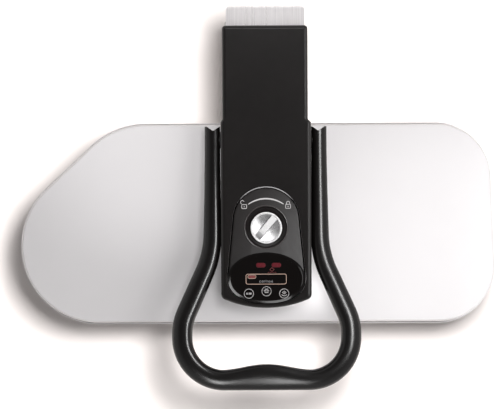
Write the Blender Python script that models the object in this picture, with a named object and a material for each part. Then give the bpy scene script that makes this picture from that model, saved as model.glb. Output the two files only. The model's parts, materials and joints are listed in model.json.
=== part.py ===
"""Steam ironing press, closed: padded board on a base, hinged arm with its panel, heated plate and loop lever.

Metres, +Z up, +X to the user's right, the user at -Y. The origin is the bottom centre of the closed press.
Run with: blender --background --python part.py
"""

import math

import bmesh
import bpy
from mathutils import Matrix, Vector

MM = 0.001
DEG = math.pi / 180

# Overall places
DEPTH = 503 * MM
ARM_OFFSET = 11 * MM
GAP = 0.3 * MM
OVERRUN = 12 * MM
ROUND_SIDES = 24
SMALL_SIDES = 12
OUTLINE_STEPS = 48
ARC_SEGMENTS = 4

# Lengths and places along the overall depth, as shares of it
PLATE_DEPTH_SHARE = 0.5388
PLATE_CENTRE_SHARE = 0.0688
ARM_LENGTH_SHARE = 0.7873
ARM_STEP_SHARE = 0.2972
KNOB_SHARE = 0.5785
LENS_SHARE = 0.7072
LENS_DEPTH_SHARE = 0.1288
BEZEL_SHARE = 0.0567
SHAFT_SHARE = 0.3489
BAR_PIVOT_SHARE = 0.2018
PUMP_SHARE = 0.2565
GUIDE_SHARE = 0.4414
SPLAY_START_SHARE = 0.2996
SPLAY_END_SHARE = 0.4761

# Pressing outline, the rounded hull of four circles
PLATE_LENGTH = 640 * MM
PLATE_DEPTH = DEPTH * PLATE_DEPTH_SHARE
PLATE_CENTRE_Y = -DEPTH * PLATE_CENTRE_SHARE
NOSE_RADIUS = 106.3 * MM
FRONT_CORNER_RADIUS = 76.7 * MM
REAR_CORNER_RADIUS = 75.3 * MM
SHOULDER_RADIUS = 110.3 * MM
SHOULDER_INSET = 170.2 * MM
END_SLANT = 4.5 * MM

# Base
FOOT_HEIGHT = 10 * MM
FOOT_RADIUS = 16 * MM
FOOT_DRAFT = 2 * MM
FOOT_INSET_LEFT_FRONT = 96 * MM
FOOT_INSET_LEFT_REAR = 150 * MM
FOOT_INSET_RIGHT = 84 * MM
FOOT_INSET_Y = 84 * MM
REAR_FOOT_LENGTH = 84 * MM
REAR_FOOT_DEPTH = 22 * MM
FLOOR_THICKNESS = 3 * MM
BASE_HEIGHT = 62 * MM
BASE_WALL = 3 * MM
BASE_INSET = 36 * MM
BASE_DRAFT = 12 * MM
BASE_EDGE = 5 * MM
SPINE_WIDTH = 112 * MM
SPINE_SETBACK = 5 * MM
SPINE_EDGE = 8 * MM
INLET_WIDTH = 30 * MM
INLET_HEIGHT = 22 * MM
INLET_DEPTH = 18 * MM
SOCKET_DEPTH = 14 * MM
SOCKET_RIM = 4 * MM
INLET_SETBACK = 90 * MM
INLET_RISE = 24 * MM

# Ironing board
POST_HEIGHT = 34 * MM
POST_RADIUS = 13 * MM
POST_FLANGE_RADIUS = 19 * MM
POST_FLANGE_HEIGHT = 3 * MM
POST_INSET_LEFT = 140 * MM
POST_INSET_RIGHT = 115 * MM
POST_INSET_Y = 79.5 * MM
PAN_WALL = 1.5 * MM
PAN_RIM = 12 * MM
PAN_INSET = 7 * MM
VENT_RADIUS = 6 * MM
VENT_PITCH_X = 62 * MM
VENT_PITCH_Y = 52 * MM
VENT_COLUMNS = 7
VENT_ROWS = 3
PAD_THICKNESS = 9.5 * MM
PAD_EDGE = 4 * MM
PAD_WAIST = 2 * MM
CLOTH_THICKNESS = 1.2 * MM
CLOTH_INSET = 4 * MM
CLOTH_HEM = 14 * MM

# Pressing plate
PRESS_GAP = 0.5 * MM
SOLE_THICKNESS = 10 * MM
SOLE_BEVEL = 1.5 * MM
STEAM_HOLE_RADIUS = 2.4 * MM
STEAM_HOLE_DEPTH = 4 * MM
STEAM_HOLE_PITCH_X = 58 * MM
STEAM_HOLE_PITCH_Y = 50 * MM
STEAM_HOLE_COLUMNS = 9
STEAM_HOLE_ROWS = 3
LID_LENGTH = 190 * MM
LID_DEPTH_SHARE = 0.487
LID_DEPTH = PLATE_DEPTH * LID_DEPTH_SHARE
LID_THICKNESS = 3.5 * MM
LID_CORNER = 20 * MM
ELEMENT_DIAMETER = 8 * MM
ELEMENT_INSET = 52 * MM
HEATER_STEPS = 36
FELT_THICKNESS = 4 * MM
FELT_INSET = 9 * MM
FELT_WINDOW_X = 120 * MM
FELT_LAP = 4 * MM
FELT_WINDOW_Y = LID_DEPTH - 2 * FELT_LAP
COVER_RISE = 21 * MM
COVER_DROP = 6 * MM
COVER_WALL = 2.5 * MM
COVER_EDGE = 5 * MM
COVER_LIP = 2 * MM
COVER_LIP_HEIGHT = 2 * MM
YOKE_LENGTH = 104 * MM
YOKE_DEPTH = 66 * MM
YOKE_THICKNESS = 3.5 * MM
YOKE_CORNER = 8 * MM
YOKE_LEG_RADIUS = 4 * MM
YOKE_LEG_X = 42 * MM
YOKE_LEG_Y = 24 * MM
YOKE_EAR_THICKNESS = 3 * MM
YOKE_EAR_RADIUS = 8 * MM
YOKE_EAR_CLEARANCE = 0.5 * MM
THERMOSTAT_RADIUS = 12 * MM
THERMOSTAT_HEIGHT = 7 * MM
PIPE_RADIUS = 1.5 * MM
PIPE_FLANGE_RADIUS = 6 * MM
PIPE_FLANGE_HEIGHT = 2.5 * MM
PIPE_INSET = 13 * MM

# Arm channel and its hinge
PRESS_TRAVEL = 5 * MM
ARM_CLEARANCE = 1.2 * MM
CHANNEL_WIDTH = 103 * MM
CHANNEL_HEIGHT = 40 * MM
CHANNEL_WALL = 2.5 * MM
CHANNEL_BEND = 5 * MM
CHANNEL_CORNER = 5 * MM
CHANNEL_SETBACK = 19 * MM
CHANNEL_LIP = 6 * MM
EAR_REACH = 52 * MM
EAR_RADIUS = 21 * MM
HINGE_SETBACK = 37.5 * MM
HINGE_DROP = 70 * MM
HINGE_PIN_RADIUS = 6 * MM
HINGE_HEAD_RADIUS = 11 * MM
HINGE_HEAD_THICKNESS = 2.5 * MM
CHEEK_THICKNESS = 3 * MM
CHEEK_CLEARANCE = 0.6 * MM
CHEEK_RADIUS = 17 * MM
COLUMN_DEPTH = 54 * MM
COLUMN_CAP_RADIUS = 20 * MM
COLUMN_WALL = 2.4 * MM
SPRING_CLEARANCE = 0.4 * MM
SPRING_WIRE = 3.2 * MM
SPRING_TURNS = 5
SPRING_PITCH = 4 * MM
SPRING_POINTS = 8
SPRING_OFFSET = 12 * MM
SPRING_LEG = 24 * MM
STOP_RADIUS = 4 * MM
STOP_ALONG = 12 * MM
LIFT_ANGLE = 45 * DEG

# Arm cover, panel and controls
ARM_LENGTH = DEPTH * ARM_LENGTH_SHARE
ARM_COVER_SETBACK = 27 * MM
ARM_COVER_RISE = 18 * MM
ARM_COVER_FRONT = 118 * MM
ARM_COVER_REAR = 112.6 * MM
ARM_COVER_STEP = DEPTH * ARM_STEP_SHARE
ARM_COVER_FLARE = 4 * MM
ARM_COVER_WALL = 2.2 * MM
ARM_COVER_DRAFT = 0.6 * MM
ARM_COVER_ROUND = 3.6 * MM
ARM_COVER_NOSE_RADIUS = 140 * MM
ARM_COVER_NOSE_CORNER = 8 * MM
ARM_COVER_TAIL_CORNER = 5 * MM
ROUND_STEPS = 2
KNOB_SETBACK = DEPTH * KNOB_SHARE
ARCH_RADIUS = 43 * MM
ARCH_OFFSET = 11 * MM
LENS_SETBACK = DEPTH * LENS_SHARE
LENS_LENGTH = 99 * MM
LENS_DEPTH = DEPTH * LENS_DEPTH_SHARE
LENS_THICKNESS = 1.4 * MM
LENS_BEVEL = 0.9 * MM
LENS_MARGIN = 0.7 * MM
PANEL_SINK = 0.8 * MM
PANEL_THICKNESS = 3.6 * MM
PANEL_FLANGE = 1.4 * MM
PANEL_GAP = 0.5 * MM
BEZEL_RADIUS = DEPTH * BEZEL_SHARE
BEZEL_LIP = 2 * MM
BEZEL_DEPTH = 5 * MM
BEZEL_FLOOR = 2 * MM
BEZEL_PROUD = 0.6 * MM
BEZEL_SLOPE = 1 * MM
KNOB_SHARE_OF_BEZEL = 0.72
KNOB_RADIUS = BEZEL_RADIUS * KNOB_SHARE_OF_BEZEL
KNOB_CLEARANCE = 0.9 * MM
KNOB_PROUD = 7 * MM
KNOB_RIM = 2.4 * MM
KNOB_CHAMFER = 1 * MM
KNOB_BAR_WIDTH = 7.5 * MM
KNOB_SCOOP_DEPTH = 5 * MM
KNOB_SEAT = 3 * MM
KNOB_ANGLE = 52 * DEG
KNOB_TURN = 90 * DEG
SPINDLE_RADIUS = 4 * MM
CRANK_RADIUS = 9 * MM
CRANK_THICKNESS = 3 * MM
CRANK_THROW = 6 * MM
CRANK_PIN_RADIUS = 2.5 * MM
CRANK_START = 135 * DEG
KEY_SHARE = 0.105
KEY_RADIUS = LENS_DEPTH * KEY_SHARE
KEY_PROUD = 0.4 * MM
KEY_TRAVEL = 0.8 * MM
KEY_CLEARANCE = 0.4 * MM
KEY_FLANGE = 1.4 * MM
KEY_FLANGE_HEIGHT = 1.2 * MM
KEY_STEM_RADIUS = 2.5 * MM
KEY_STEM = 3 * MM
KEY_SPACING = 23 * MM
KEY_DROP_SHARE = 0.3225
KEY_BOW_SHARE = 0.0463
BOARD_THICKNESS = 1.6 * MM
BOARD_LIFT = 3.5 * MM
BOARD_WIDTH = 84 * MM
BOARD_DEPTH_SHARE = 0.772
BOARD_DEPTH = LENS_DEPTH * BOARD_DEPTH_SHARE
BOARD_INSET = 6 * MM
SPACER_RADIUS = 3 * MM
DISPLAY_LENGTH = 54 * MM
DISPLAY_DEPTH_SHARE = 0.224
DISPLAY_DEPTH = LENS_DEPTH * DISPLAY_DEPTH_SHARE
DISPLAY_DROP_SHARE = 0.034
LAMP_LENGTH = 12.4 * MM
LAMP_DEPTH = 6 * MM
LAMP_LIFT_SHARE = 0.2485
LAMP_X_LEFT = -7.3 * MM
LAMP_X_RIGHT = 12.9 * MM
LAMP_HEIGHT = 9 * MM

# Loop lever, shaft and cams
SHAFT_SETBACK = DEPTH * SHAFT_SHARE
SHAFT_RISE = 25 * MM
SHAFT_RADIUS = 6 * MM
BUSH_WALL = 2.2 * MM
BUSH_FLANGE_RADIUS = 11 * MM
LEVER_REAR_WIDTH = 141.6 * MM
LEVER_FRONT_WIDTH = 220.4 * MM
LEVER_TAIL = 19.5 * MM
LEVER_SPLAY_START = DEPTH * SPLAY_START_SHARE
LEVER_SPLAY_END = DEPTH * SPLAY_END_SHARE
LEVER_RISE = 29 * MM
LEVER_THICKNESS_REAR = 19.2 * MM
LEVER_THICKNESS_FRONT = 26.6 * MM
LEVER_GRIP_BULGE = 7.6 * MM
LEVER_GRIP_LENGTH = 124 * MM
LEVER_HEIGHT_REAR = 21 * MM
LEVER_HEIGHT_FRONT = 25 * MM
LEVER_SPLAY_RADIUS = 120 * MM
LEVER_SIDE_SHARE = 0.937
LEVER_CORNER_SHARE = 0.736
LEVER_SEAT = 11 * MM
LEVER_SIDES = 12
LEVER_RINGS = 46
LEVER_NOTCH_WIDTH = 15 * MM
LEVER_NOTCH_DEPTH = 7 * MM
LEVER_SIDE_GAP = 0.5 * MM
CAM_HUB_RADIUS = 9 * MM
SLEEVE_WALL = 1.8 * MM
CAM_LOBE_RADIUS = 8 * MM
CAM_THROW = 8 * MM
CAM_START = 20 * DEG
CAM_THICKNESS = 8 * MM
CAM_SPACING = 20 * MM
CAM_GAP = 0.4 * MM
LOCK_DISC_RADIUS = 11.5 * MM
LOCK_DISC_THICKNESS = 8 * MM
LOCK_NOTCH_DEPTH = 3 * MM
ROD_THICKNESS = 3 * MM
ROD_RISE = 3.5 * MM
ROD_WIDTH = 7 * MM
ROD_PAD_WIDTH = 24 * MM
ROD_PAD_DEPTH = 13 * MM
ROD_CLEARANCE = 0.5 * MM
ROD_TIP_GAP = 0.6 * MM
GUIDE_WALL = 2 * MM
GUIDE_DEPTH = 10 * MM
GUIDE_SETBACK = DEPTH * GUIDE_SHARE
BAR_WIDTH = 30 * MM
BAR_THICKNESS = 6 * MM
BAR_PIVOT_SETBACK = DEPTH * BAR_PIVOT_SHARE
BAR_PIN_RADIUS = 3 * MM
BAR_CLEARANCE = 0.5 * MM
BAR_EYE_WALL = 2.5 * MM

# Water system
TANK_HEIGHT = 30 * MM
TANK_WALL = 2 * MM
TANK_CLEARANCE = 0.6 * MM
TANK_REAR_CLEARANCE = 8 * MM
TANK_CORNER = 5 * MM
TANK_LIP = 4 * MM
TANK_LIP_HEIGHT = 3.2 * MM
FILLER_RADIUS = 11 * MM
FILLER_INSET = 30 * MM
CAP_THICKNESS = 1.8 * MM
CAP_PLUG = 1.7 * MM
CAP_RIM = 2.5 * MM
DOCK_WIDTH = 14 * MM
DOCK_DEPTH = 8 * MM
DOCK_FLOOR = 6 * MM
SPIGOT_RADIUS = 2.5 * MM
PORT_X = 31 * MM
PUMP_WIDTH = 78 * MM
PUMP_DEPTH = 40 * MM
PUMP_HEIGHT = 24 * MM
PUMP_CORNER = 6 * MM
PUMP_SETBACK = DEPTH * PUMP_SHARE
NOZZLE_RADIUS = 3 * MM
NOZZLE_LENGTH = 5 * MM
HOSE_RADIUS = 2.8 * MM
HOSE_BORE = 2 * MM
HOSE_OVERLAP = 6 * MM
HOSE_BORE_DEPTH = 13 * MM
HOSE_BEND = 12 * MM
HOSE_CLEARANCE = 0.5 * MM
HOSE_SAG = 2 * MM
HOSE_POINTS = 22

# Heights that follow from the sizes above
FLOOR_Z = FOOT_HEIGHT
DECK_Z = FOOT_HEIGHT + BASE_HEIGHT
PAN_Z = DECK_Z + POST_HEIGHT
RIM_Z = PAN_Z + PAN_WALL - PAN_RIM
PAD_Z = PAN_Z + PAN_WALL + GAP
CLOTH_Z = PAD_Z + PAD_THICKNESS + GAP
SOLE_Z = CLOTH_Z + CLOTH_THICKNESS + PRESS_GAP
SOLE_TOP = SOLE_Z + SOLE_THICKNESS
LID_TOP = SOLE_TOP + GAP + LID_THICKNESS
FELT_Z = SOLE_TOP + ELEMENT_DIAMETER + 2 * GAP
COVER_TOP = SOLE_TOP + COVER_RISE
YOKE_Z = COVER_TOP + GAP
YOKE_TOP = YOKE_Z + YOKE_THICKNESS
ARM_Z = YOKE_TOP + PRESS_TRAVEL + ARM_CLEARANCE
WEB_TOP = ARM_Z + CHANNEL_HEIGHT
WEB_Z = WEB_TOP - CHANNEL_WALL
COVER_Z = WEB_TOP + ARM_COVER_RISE
PANEL_TOP = COVER_Z - PANEL_SINK
PANEL_Z = PANEL_TOP - PANEL_THICKNESS
LENS_Z = PANEL_TOP + GAP
LENS_TOP = LENS_Z + LENS_THICKNESS
BOARD_Z = WEB_TOP + BOARD_LIFT
BOARD_TOP = BOARD_Z + BOARD_THICKNESS
SHAFT_Z = ARM_Z + SHAFT_RISE
BAR_TOP = SHAFT_Z - CAM_THROW * math.cos(CAM_START) - CAM_LOBE_RADIUS - CAM_GAP
BAR_AXIS_Z = BAR_TOP - BAR_THICKNESS / 2
ROD_Z = SHAFT_Z + ROD_RISE
ROD_TOP = ROD_Z + ROD_THICKNESS
CRANK_Z = ROD_TOP + GAP
HINGE_Z = WEB_TOP - HINGE_DROP
TANK_Z = ARM_Z + CHANNEL_WALL + GAP
TANK_TOP = TANK_Z + TANK_HEIGHT
PUMP_Z = WEB_Z - GAP - PUMP_HEIGHT
SUPPLY_Z = SHAFT_Z - SHAFT_RADIUS - HOSE_RADIUS - HOSE_SAG
STEAM_Z = SHAFT_Z + SHAFT_RADIUS + HOSE_RADIUS + HOSE_CLEARANCE
HOSE_END_Z = YOKE_Z + PIPE_FLANGE_HEIGHT + PRESS_TRAVEL + ARM_CLEARANCE

# Places along the arm, measured forward from its rear end
REAR_Y = DEPTH / 2
HINGE_Y = REAR_Y - HINGE_SETBACK
SHAFT_Y = REAR_Y - SHAFT_SETBACK
KNOB_Y = REAR_Y - KNOB_SETBACK
LENS_Y = REAR_Y - LENS_SETBACK
DISPLAY_Y = LENS_Y - LENS_DEPTH * DISPLAY_DROP_SHARE
KEY_Y = LENS_Y - LENS_DEPTH * KEY_DROP_SHARE
LAMP_Y = LENS_Y + LENS_DEPTH * LAMP_LIFT_SHARE
NOSE_Y = REAR_Y - ARM_LENGTH
BAR_PIVOT_Y = REAR_Y - BAR_PIVOT_SETBACK
PUMP_Y = REAR_Y - PUMP_SETBACK
CHANNEL_FRONT_Y = NOSE_Y + CHANNEL_SETBACK
ROD_TRAVEL = 2 * CRANK_THROW * math.sin(KNOB_TURN / 2)
ROD_PAD_Y = KNOB_Y + CRANK_THROW * math.sin(CRANK_START)
TANK_REAR_Y = ROD_PAD_Y - ROD_PAD_DEPTH / 2 - ROD_TRAVEL - TANK_REAR_CLEARANCE
DOCK_Y = TANK_REAR_Y + DOCK_DEPTH / 2 + SPIGOT_RADIUS
PIPE_Y = PLATE_CENTRE_Y + LID_DEPTH / 2 - PIPE_INSET

# Widths that follow from the sizes above
CHEEK_HALF = CHANNEL_WIDTH / 2 - CHANNEL_WALL - CHEEK_CLEARANCE
TANK_HALF = CHANNEL_WIDTH / 2 - CHANNEL_WALL - TANK_CLEARANCE
LEVER_INNER = LEVER_REAR_WIDTH / 2 - LEVER_THICKNESS_REAR / 2

COLOURS = {
    "white_enamel": ((0.80, 0.79, 0.79), 0.42, 0.0),
    "black_plastic": ((0.025, 0.022, 0.022), 0.40, 0.0),
    "gloss_black": ((0.006, 0.006, 0.006), 0.08, 0.0),
    "brushed_steel": ((0.72, 0.70, 0.70), 0.34, 1.0),
    "zinc_steel": ((0.55, 0.56, 0.58), 0.40, 1.0),
    "chrome": ((0.85, 0.85, 0.86), 0.12, 1.0),
    "aluminium": ((0.74, 0.74, 0.75), 0.38, 1.0),
    "white_plastic": ((0.78, 0.78, 0.77), 0.45, 0.0),
    "grey_plastic": ((0.22, 0.22, 0.23), 0.50, 0.0),
    "red_lamp": ((0.60, 0.03, 0.03), 0.20, 0.0),
    "rubber": ((0.03, 0.03, 0.03), 0.85, 0.0),
    "felt": ((0.62, 0.60, 0.55), 0.95, 0.0),
    "cloth": ((0.66, 0.67, 0.69), 0.80, 0.0),
    "brass": ((0.72, 0.52, 0.22), 0.30, 1.0),
    "smoke_plastic": ((0.05, 0.05, 0.06), 0.18, 0.0),
    "circuit_board": ((0.05, 0.22, 0.10), 0.50, 0.0),
    "hose_rubber": ((0.55, 0.55, 0.52), 0.55, 0.0),
}


def material(slot):
    """The Principled material of a slot, made once."""
    found = bpy.data.materials.get(slot)
    if found:
        return found
    colour, roughness, metallic = COLOURS[slot]
    made = bpy.data.materials.new(slot)
    made.use_nodes = True
    shader = made.node_tree.nodes["Principled BSDF"]
    shader.inputs["Base Color"].default_value = (*colour, 1.0)
    shader.inputs["Roughness"].default_value = roughness
    shader.inputs["Metallic"].default_value = metallic
    made.diffuse_color = (*colour, 1.0)
    return made


def mesh_object(name, points, faces, slot):
    """A closed mesh object whose faces point out, shaded smooth with sharp edges kept."""
    mesh = bpy.data.meshes.new(name)
    mesh.from_pydata([tuple(p) for p in points], [], faces)
    work = bmesh.new()
    work.from_mesh(mesh)
    bmesh.ops.recalc_face_normals(work, faces=work.faces)
    work.to_mesh(mesh)
    work.free()
    mesh.shade_smooth()
    mesh.set_sharp_from_angle(angle=32 * DEG)
    mesh.materials.append(material(slot))
    made = bpy.data.objects.new(name, mesh)
    bpy.context.scene.collection.objects.link(made)
    return made


def ring_faces(first, second, count):
    """Quads between two rings of count points that start at those indices."""
    return [(first + i, first + (i + 1) % count, second + (i + 1) % count, second + i) for i in range(count)]


def ladder(rings, start=0):
    """Quads from each ring to the next, and the index where the last ring starts."""
    count = len(rings[0])
    faces = []
    for level in range(len(rings) - 1):
        faces += ring_faces(start + level * count, start + (level + 1) * count, count)
    return faces, start + (len(rings) - 1) * count


def stack(name, rings, slot):
    """A solid through rings of equal count, with both ends capped."""
    count = len(rings[0])
    faces, last = ladder(rings)
    faces += [tuple(range(count)), tuple(range(last, last + count))]
    return mesh_object(name, [p for ring in rings for p in ring], faces, slot)


def shell(name, outer, inner, slot):
    """A cover that is open below: outer rings from rim to top, inner rings from rim to ceiling."""
    count = len(outer[0])
    faces, top = ladder(outer)
    start = top + count
    inside, ceiling = ladder(inner, start)
    faces += inside + ring_faces(0, start, count)
    faces += [tuple(range(top, top + count)), tuple(range(ceiling, ceiling + count))]
    return mesh_object(name, [p for ring in outer + inner for p in ring], faces, slot)


def level_ring(outline, z):
    """An outline in X and Y lifted to a height."""
    return [Vector((x, y, z)) for x, y in outline]


def slab(name, outline, low, high, slot):
    """A flat plate of an outline between two heights."""
    return stack(name, [level_ring(outline, low), level_ring(outline, high)], slot)


def cross_slab(name, profile, low, high, slot):
    """A plate cut from a side profile in Y and Z, between two places on X."""
    return stack(name, [[Vector((x, y, z)) for y, z in profile] for x in (low, high)], slot)


def prisms(name, outlines, low, high):
    """One cutter that holds a prism for each outline."""
    points, faces = [], []
    for outline in outlines:
        start, count = len(points), len(outline)
        points += level_ring(outline, low) + level_ring(outline, high)
        faces += ring_faces(start, start + count, count)
        faces += [tuple(range(start, start + count)), tuple(range(start + count, start + 2 * count))]
    return mesh_object(name, points, faces, "zinc_steel")


def rectangle(half_x, half_y, x=0, y=0, corner=0):
    """A rectangle's outline about a centre, with rounded corners where asked."""
    corners = [(half_x, -half_y), (half_x, half_y), (-half_x, half_y), (-half_x, -half_y)]
    return rounded([(x + a, y + b, corner) for a, b in corners])


def block(name, low, high, slot):
    """A plain box between two corners."""
    outline = [(low[0], low[1]), (high[0], low[1]), (high[0], high[1]), (low[0], high[1])]
    return slab(name, outline, low[2], high[2], slot)


def circle(radius, x=0, y=0, sides=ROUND_SIDES):
    """A circle's outline."""
    turns = [i / sides * math.tau for i in range(sides)]
    return [(x + radius * math.cos(t), y + radius * math.sin(t)) for t in turns]


def rounded(corners, segments=ARC_SEGMENTS):
    """A polygon of (x, y, radius) corners with each corner turned into an arc."""
    outline = []
    for i, (x, y, radius) in enumerate(corners):
        here = Vector((x, y))
        if radius <= 0:
            outline.append((x, y))
            continue
        before = (Vector(corners[i - 1][:2]) - here).normalized()
        after = (Vector(corners[(i + 1) % len(corners)][:2]) - here).normalized()
        half_turn = (math.pi - before.angle(after)) / 2
        centre = here + (before + after).normalized() * (radius / math.cos(half_turn))
        start = here + before * (radius * math.tan(half_turn)) - centre
        side = 1 if before.x * after.y - before.y * after.x < 0 else -1
        for step in range(segments + 1):
            turn = side * 2 * half_turn * step / segments
            spoke = Vector((
                start.x * math.cos(turn) - start.y * math.sin(turn),
                start.x * math.sin(turn) + start.y * math.cos(turn),
            ))
            outline.append(tuple(centre + spoke))
    return outline


def hull_outline(ovals, offset=0, steps=OUTLINE_STEPS):
    """The outline of a tight band round ovals (x, y, half length, half depth), grown by an offset."""
    outline = []
    for step in range(steps):
        turn = step / steps * math.tau
        nx, ny = math.cos(turn), math.sin(turn)

        def reach(oval):
            x, y, half_x, half_y = oval
            return x * nx + y * ny + math.hypot(half_x * nx, half_y * ny)

        x, y, half_x, half_y = max(ovals, key=reach)
        size = math.hypot(half_x * nx, half_y * ny)
        outline.append((x + half_x**2 * nx / size + offset * nx, y + half_y**2 * ny / size + offset * ny))
    return outline


def plate_outline(offset=0):
    """The pressing outline: a tapered nose on the left, a square end on the right."""
    left, right = -PLATE_LENGTH / 2, PLATE_LENGTH / 2
    front, rear = PLATE_CENTRE_Y - PLATE_DEPTH / 2, PLATE_CENTRE_Y + PLATE_DEPTH / 2
    circles = [
        (left + NOSE_RADIUS, front + NOSE_RADIUS, NOSE_RADIUS),
        (right - FRONT_CORNER_RADIUS, front + FRONT_CORNER_RADIUS, FRONT_CORNER_RADIUS),
        (right - END_SLANT - REAR_CORNER_RADIUS, rear - REAR_CORNER_RADIUS, REAR_CORNER_RADIUS),
        (left + SHOULDER_INSET, rear - SHOULDER_RADIUS, SHOULDER_RADIUS),
    ]
    return hull_outline([(x, y, radius, radius) for x, y, radius in circles], offset)


def plate_ring(inset, z):
    """The pressing outline drawn in and lifted to a height."""
    return level_ring(plate_outline(-inset), z)


def panel_outline(offset=0):
    """The control panel's shield: an arch round the knob that widens to the lens."""
    arch = (arm_x(), KNOB_Y + ARCH_OFFSET, ARCH_RADIUS, ARCH_RADIUS)
    oval = (arm_x(), LENS_Y, LENS_LENGTH / 2 + LENS_MARGIN, LENS_DEPTH / 2 + LENS_MARGIN)
    return hull_outline([arch, oval], offset, OUTLINE_STEPS // 2)


def lens_outline(offset=0):
    """The oval display lens."""
    return hull_outline([(arm_x(), LENS_Y, LENS_LENGTH / 2, LENS_DEPTH / 2)], offset, OUTLINE_STEPS // 2)


def pill_outline(length, depth, x, y, offset=0):
    """A slot shape with round ends."""
    radius, reach = depth / 2, (length - depth) / 2
    ends = [(x - reach, y, radius, radius), (x + reach, y, radius, radius)]
    return hull_outline(ends, offset, SMALL_SIDES)


def cylinder(name, start, end, radius, slot, sides=ROUND_SIDES):
    """A round bar between two points."""
    start, end = Vector(start), Vector(end)
    turn = Vector((0, 0, 1)).rotation_difference(end - start).to_matrix()
    rings = [[place + turn @ Vector((x, y, 0)) for x,
        y in circle(radius, sides=sides)] for place in (start, end)]
    return stack(name, rings, slot)


def cross_bar(name, half, y, z, radius, slot, sides=ROUND_SIDES):
    """A round bar along X through the arm's middle."""
    return cylinder(name, (arm_x(-half), y, z), (arm_x(half), y, z), radius, slot, sides)


def turned(name, profile, place, slot, axis="Z", sides=ROUND_SIDES):
    """A profile of (radius, height) points spun round an axis: it is a loop, or starts and ends on the axis."""
    turn = Vector((0, 0, 1)).rotation_difference(Vector((axis == "X", axis == "Y", axis == "Z"))).to_matrix()
    on_axis = profile[0][0] == 0
    rings = [
        [Vector(place) + turn @ Vector((x, y, height)) for x, y in circle(radius, sides=sides)]
        for radius, height in (profile[1:-1] if on_axis else profile)
    ]
    if on_axis:
        return stack(name, rings, slot)
    faces, last = ladder(rings)
    return mesh_object(name, [p for ring in rings for p in ring], faces + ring_faces(last, 0, sides), slot)


def tube(name, points, radius, slot, resolution=2):
    """A round tube along points, as a filled curve."""
    curve = bpy.data.curves.new(name, "CURVE")
    curve.dimensions = "3D"
    curve.bevel_depth = radius
    curve.bevel_resolution = resolution
    curve.use_fill_caps = True
    line = curve.splines.new("POLY")
    line.points.add(len(points) - 1)
    for spot, point in zip(line.points, points):
        spot.co = (*point, 1)
    curve.materials.append(material(slot))
    made = bpy.data.objects.new(name, curve)
    bpy.context.scene.collection.objects.link(made)
    return made


def even_line(fine, count):
    """Points at equal steps along a fine line."""
    travelled = [0.0]
    for a, b in zip(fine, fine[1:]):
        travelled.append(travelled[-1] + (b - a).length)
    found, i = [], 0
    for step in range(count):
        goal = travelled[-1] * step / (count - 1)
        while i < len(fine) - 2 and travelled[i + 1] < goal:
            i += 1
        share = (goal - travelled[i]) / (travelled[i + 1] - travelled[i])
        found.append(fine[i].lerp(fine[i + 1], share))
    return found


def blend(start, end, share):
    """A value between two, eased at both ends."""
    share = min(max(share, 0), 1)
    return start + (end - start) * share * share * (3 - 2 * share)


def boolean(target, tool, operation):
    """Cuts or joins target with a hidden tool that it carries along."""
    tool.parent = target
    tool.hide_render = True
    tool.display_type = "WIRE"
    step = target.modifiers.new(tool.name, "BOOLEAN")
    step.operation = operation
    step.object = tool
    step.solver = "EXACT"


def cut(target, *tools):
    """Takes each tool away from target."""
    for tool in tools:
        boolean(target, tool, "DIFFERENCE")


def join(target, *tools):
    """Adds each tool to target."""
    for tool in tools:
        boolean(target, tool, "UNION")


def carrier(name, place, pieces, parent=None):
    """An empty on a joint's axis that carries the pieces of a moving body."""
    made = bpy.data.objects.new(name, None)
    bpy.context.scene.collection.objects.link(made)
    made.parent = parent
    above = parent.matrix_world.translation if parent else Vector()
    made.location = Vector(place) - above
    bpy.context.view_layer.update()
    for piece in pieces:
        piece.parent = made
        piece.location = -Vector(place)
    return made


def arm_x(offset=0):
    """A place on X measured from the arm's middle."""
    return ARM_OFFSET + offset


def base_shell():
    """Moulded tub under the board with a spine that runs back to the hinge column."""
    half, wall = SPINE_WIDTH / 2, BASE_WALL
    rear = REAR_Y - SPINE_SETBACK
    edge_z = DECK_Z - BASE_EDGE
    body = stack("base_shell", [
        plate_ring(BASE_INSET + BASE_DRAFT, FLOOR_Z),
        plate_ring(BASE_INSET, edge_z),
        plate_ring(BASE_INSET + BASE_EDGE, DECK_Z),
    ], "white_plastic")
    hollow = stack("base_tub_room", [
        plate_ring(BASE_INSET + BASE_DRAFT + wall, FLOOR_Z - OVERRUN),
        plate_ring(BASE_INSET + BASE_DRAFT + wall, FLOOR_Z),
        plate_ring(BASE_INSET + wall, edge_z),
        plate_ring(BASE_INSET + BASE_EDGE + wall, DECK_Z - wall),
    ], "white_plastic")

    def spine(name, inset, low):
        profile = rounded([
            (PLATE_CENTRE_Y + inset, low, 0), (rear - inset, low, 0),
            (rear - inset, DECK_Z - inset, SPINE_EDGE - inset), (PLATE_CENTRE_Y + inset, DECK_Z - inset, 0),
        ])
        return cross_slab(name, profile, arm_x(inset - half), arm_x(half - inset), "white_plastic")

    join(body, spine("base_spine", 0, FLOOR_Z))
    cut(body, hollow, spine("base_spine_room", wall, FLOOR_Z - OVERRUN))
    y, z = REAR_Y - INLET_SETBACK, FLOOR_Z + INLET_RISE
    half_y, half_z = INLET_WIDTH / 2 + GAP, INLET_HEIGHT / 2 + GAP
    cut(body, block(
        "base_inlet_opening",
        (arm_x(half - OVERRUN), y - half_y, z - half_z), (arm_x(half + OVERRUN), y + half_y, z + half_z),
        "white_plastic",
    ))
    return body


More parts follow.
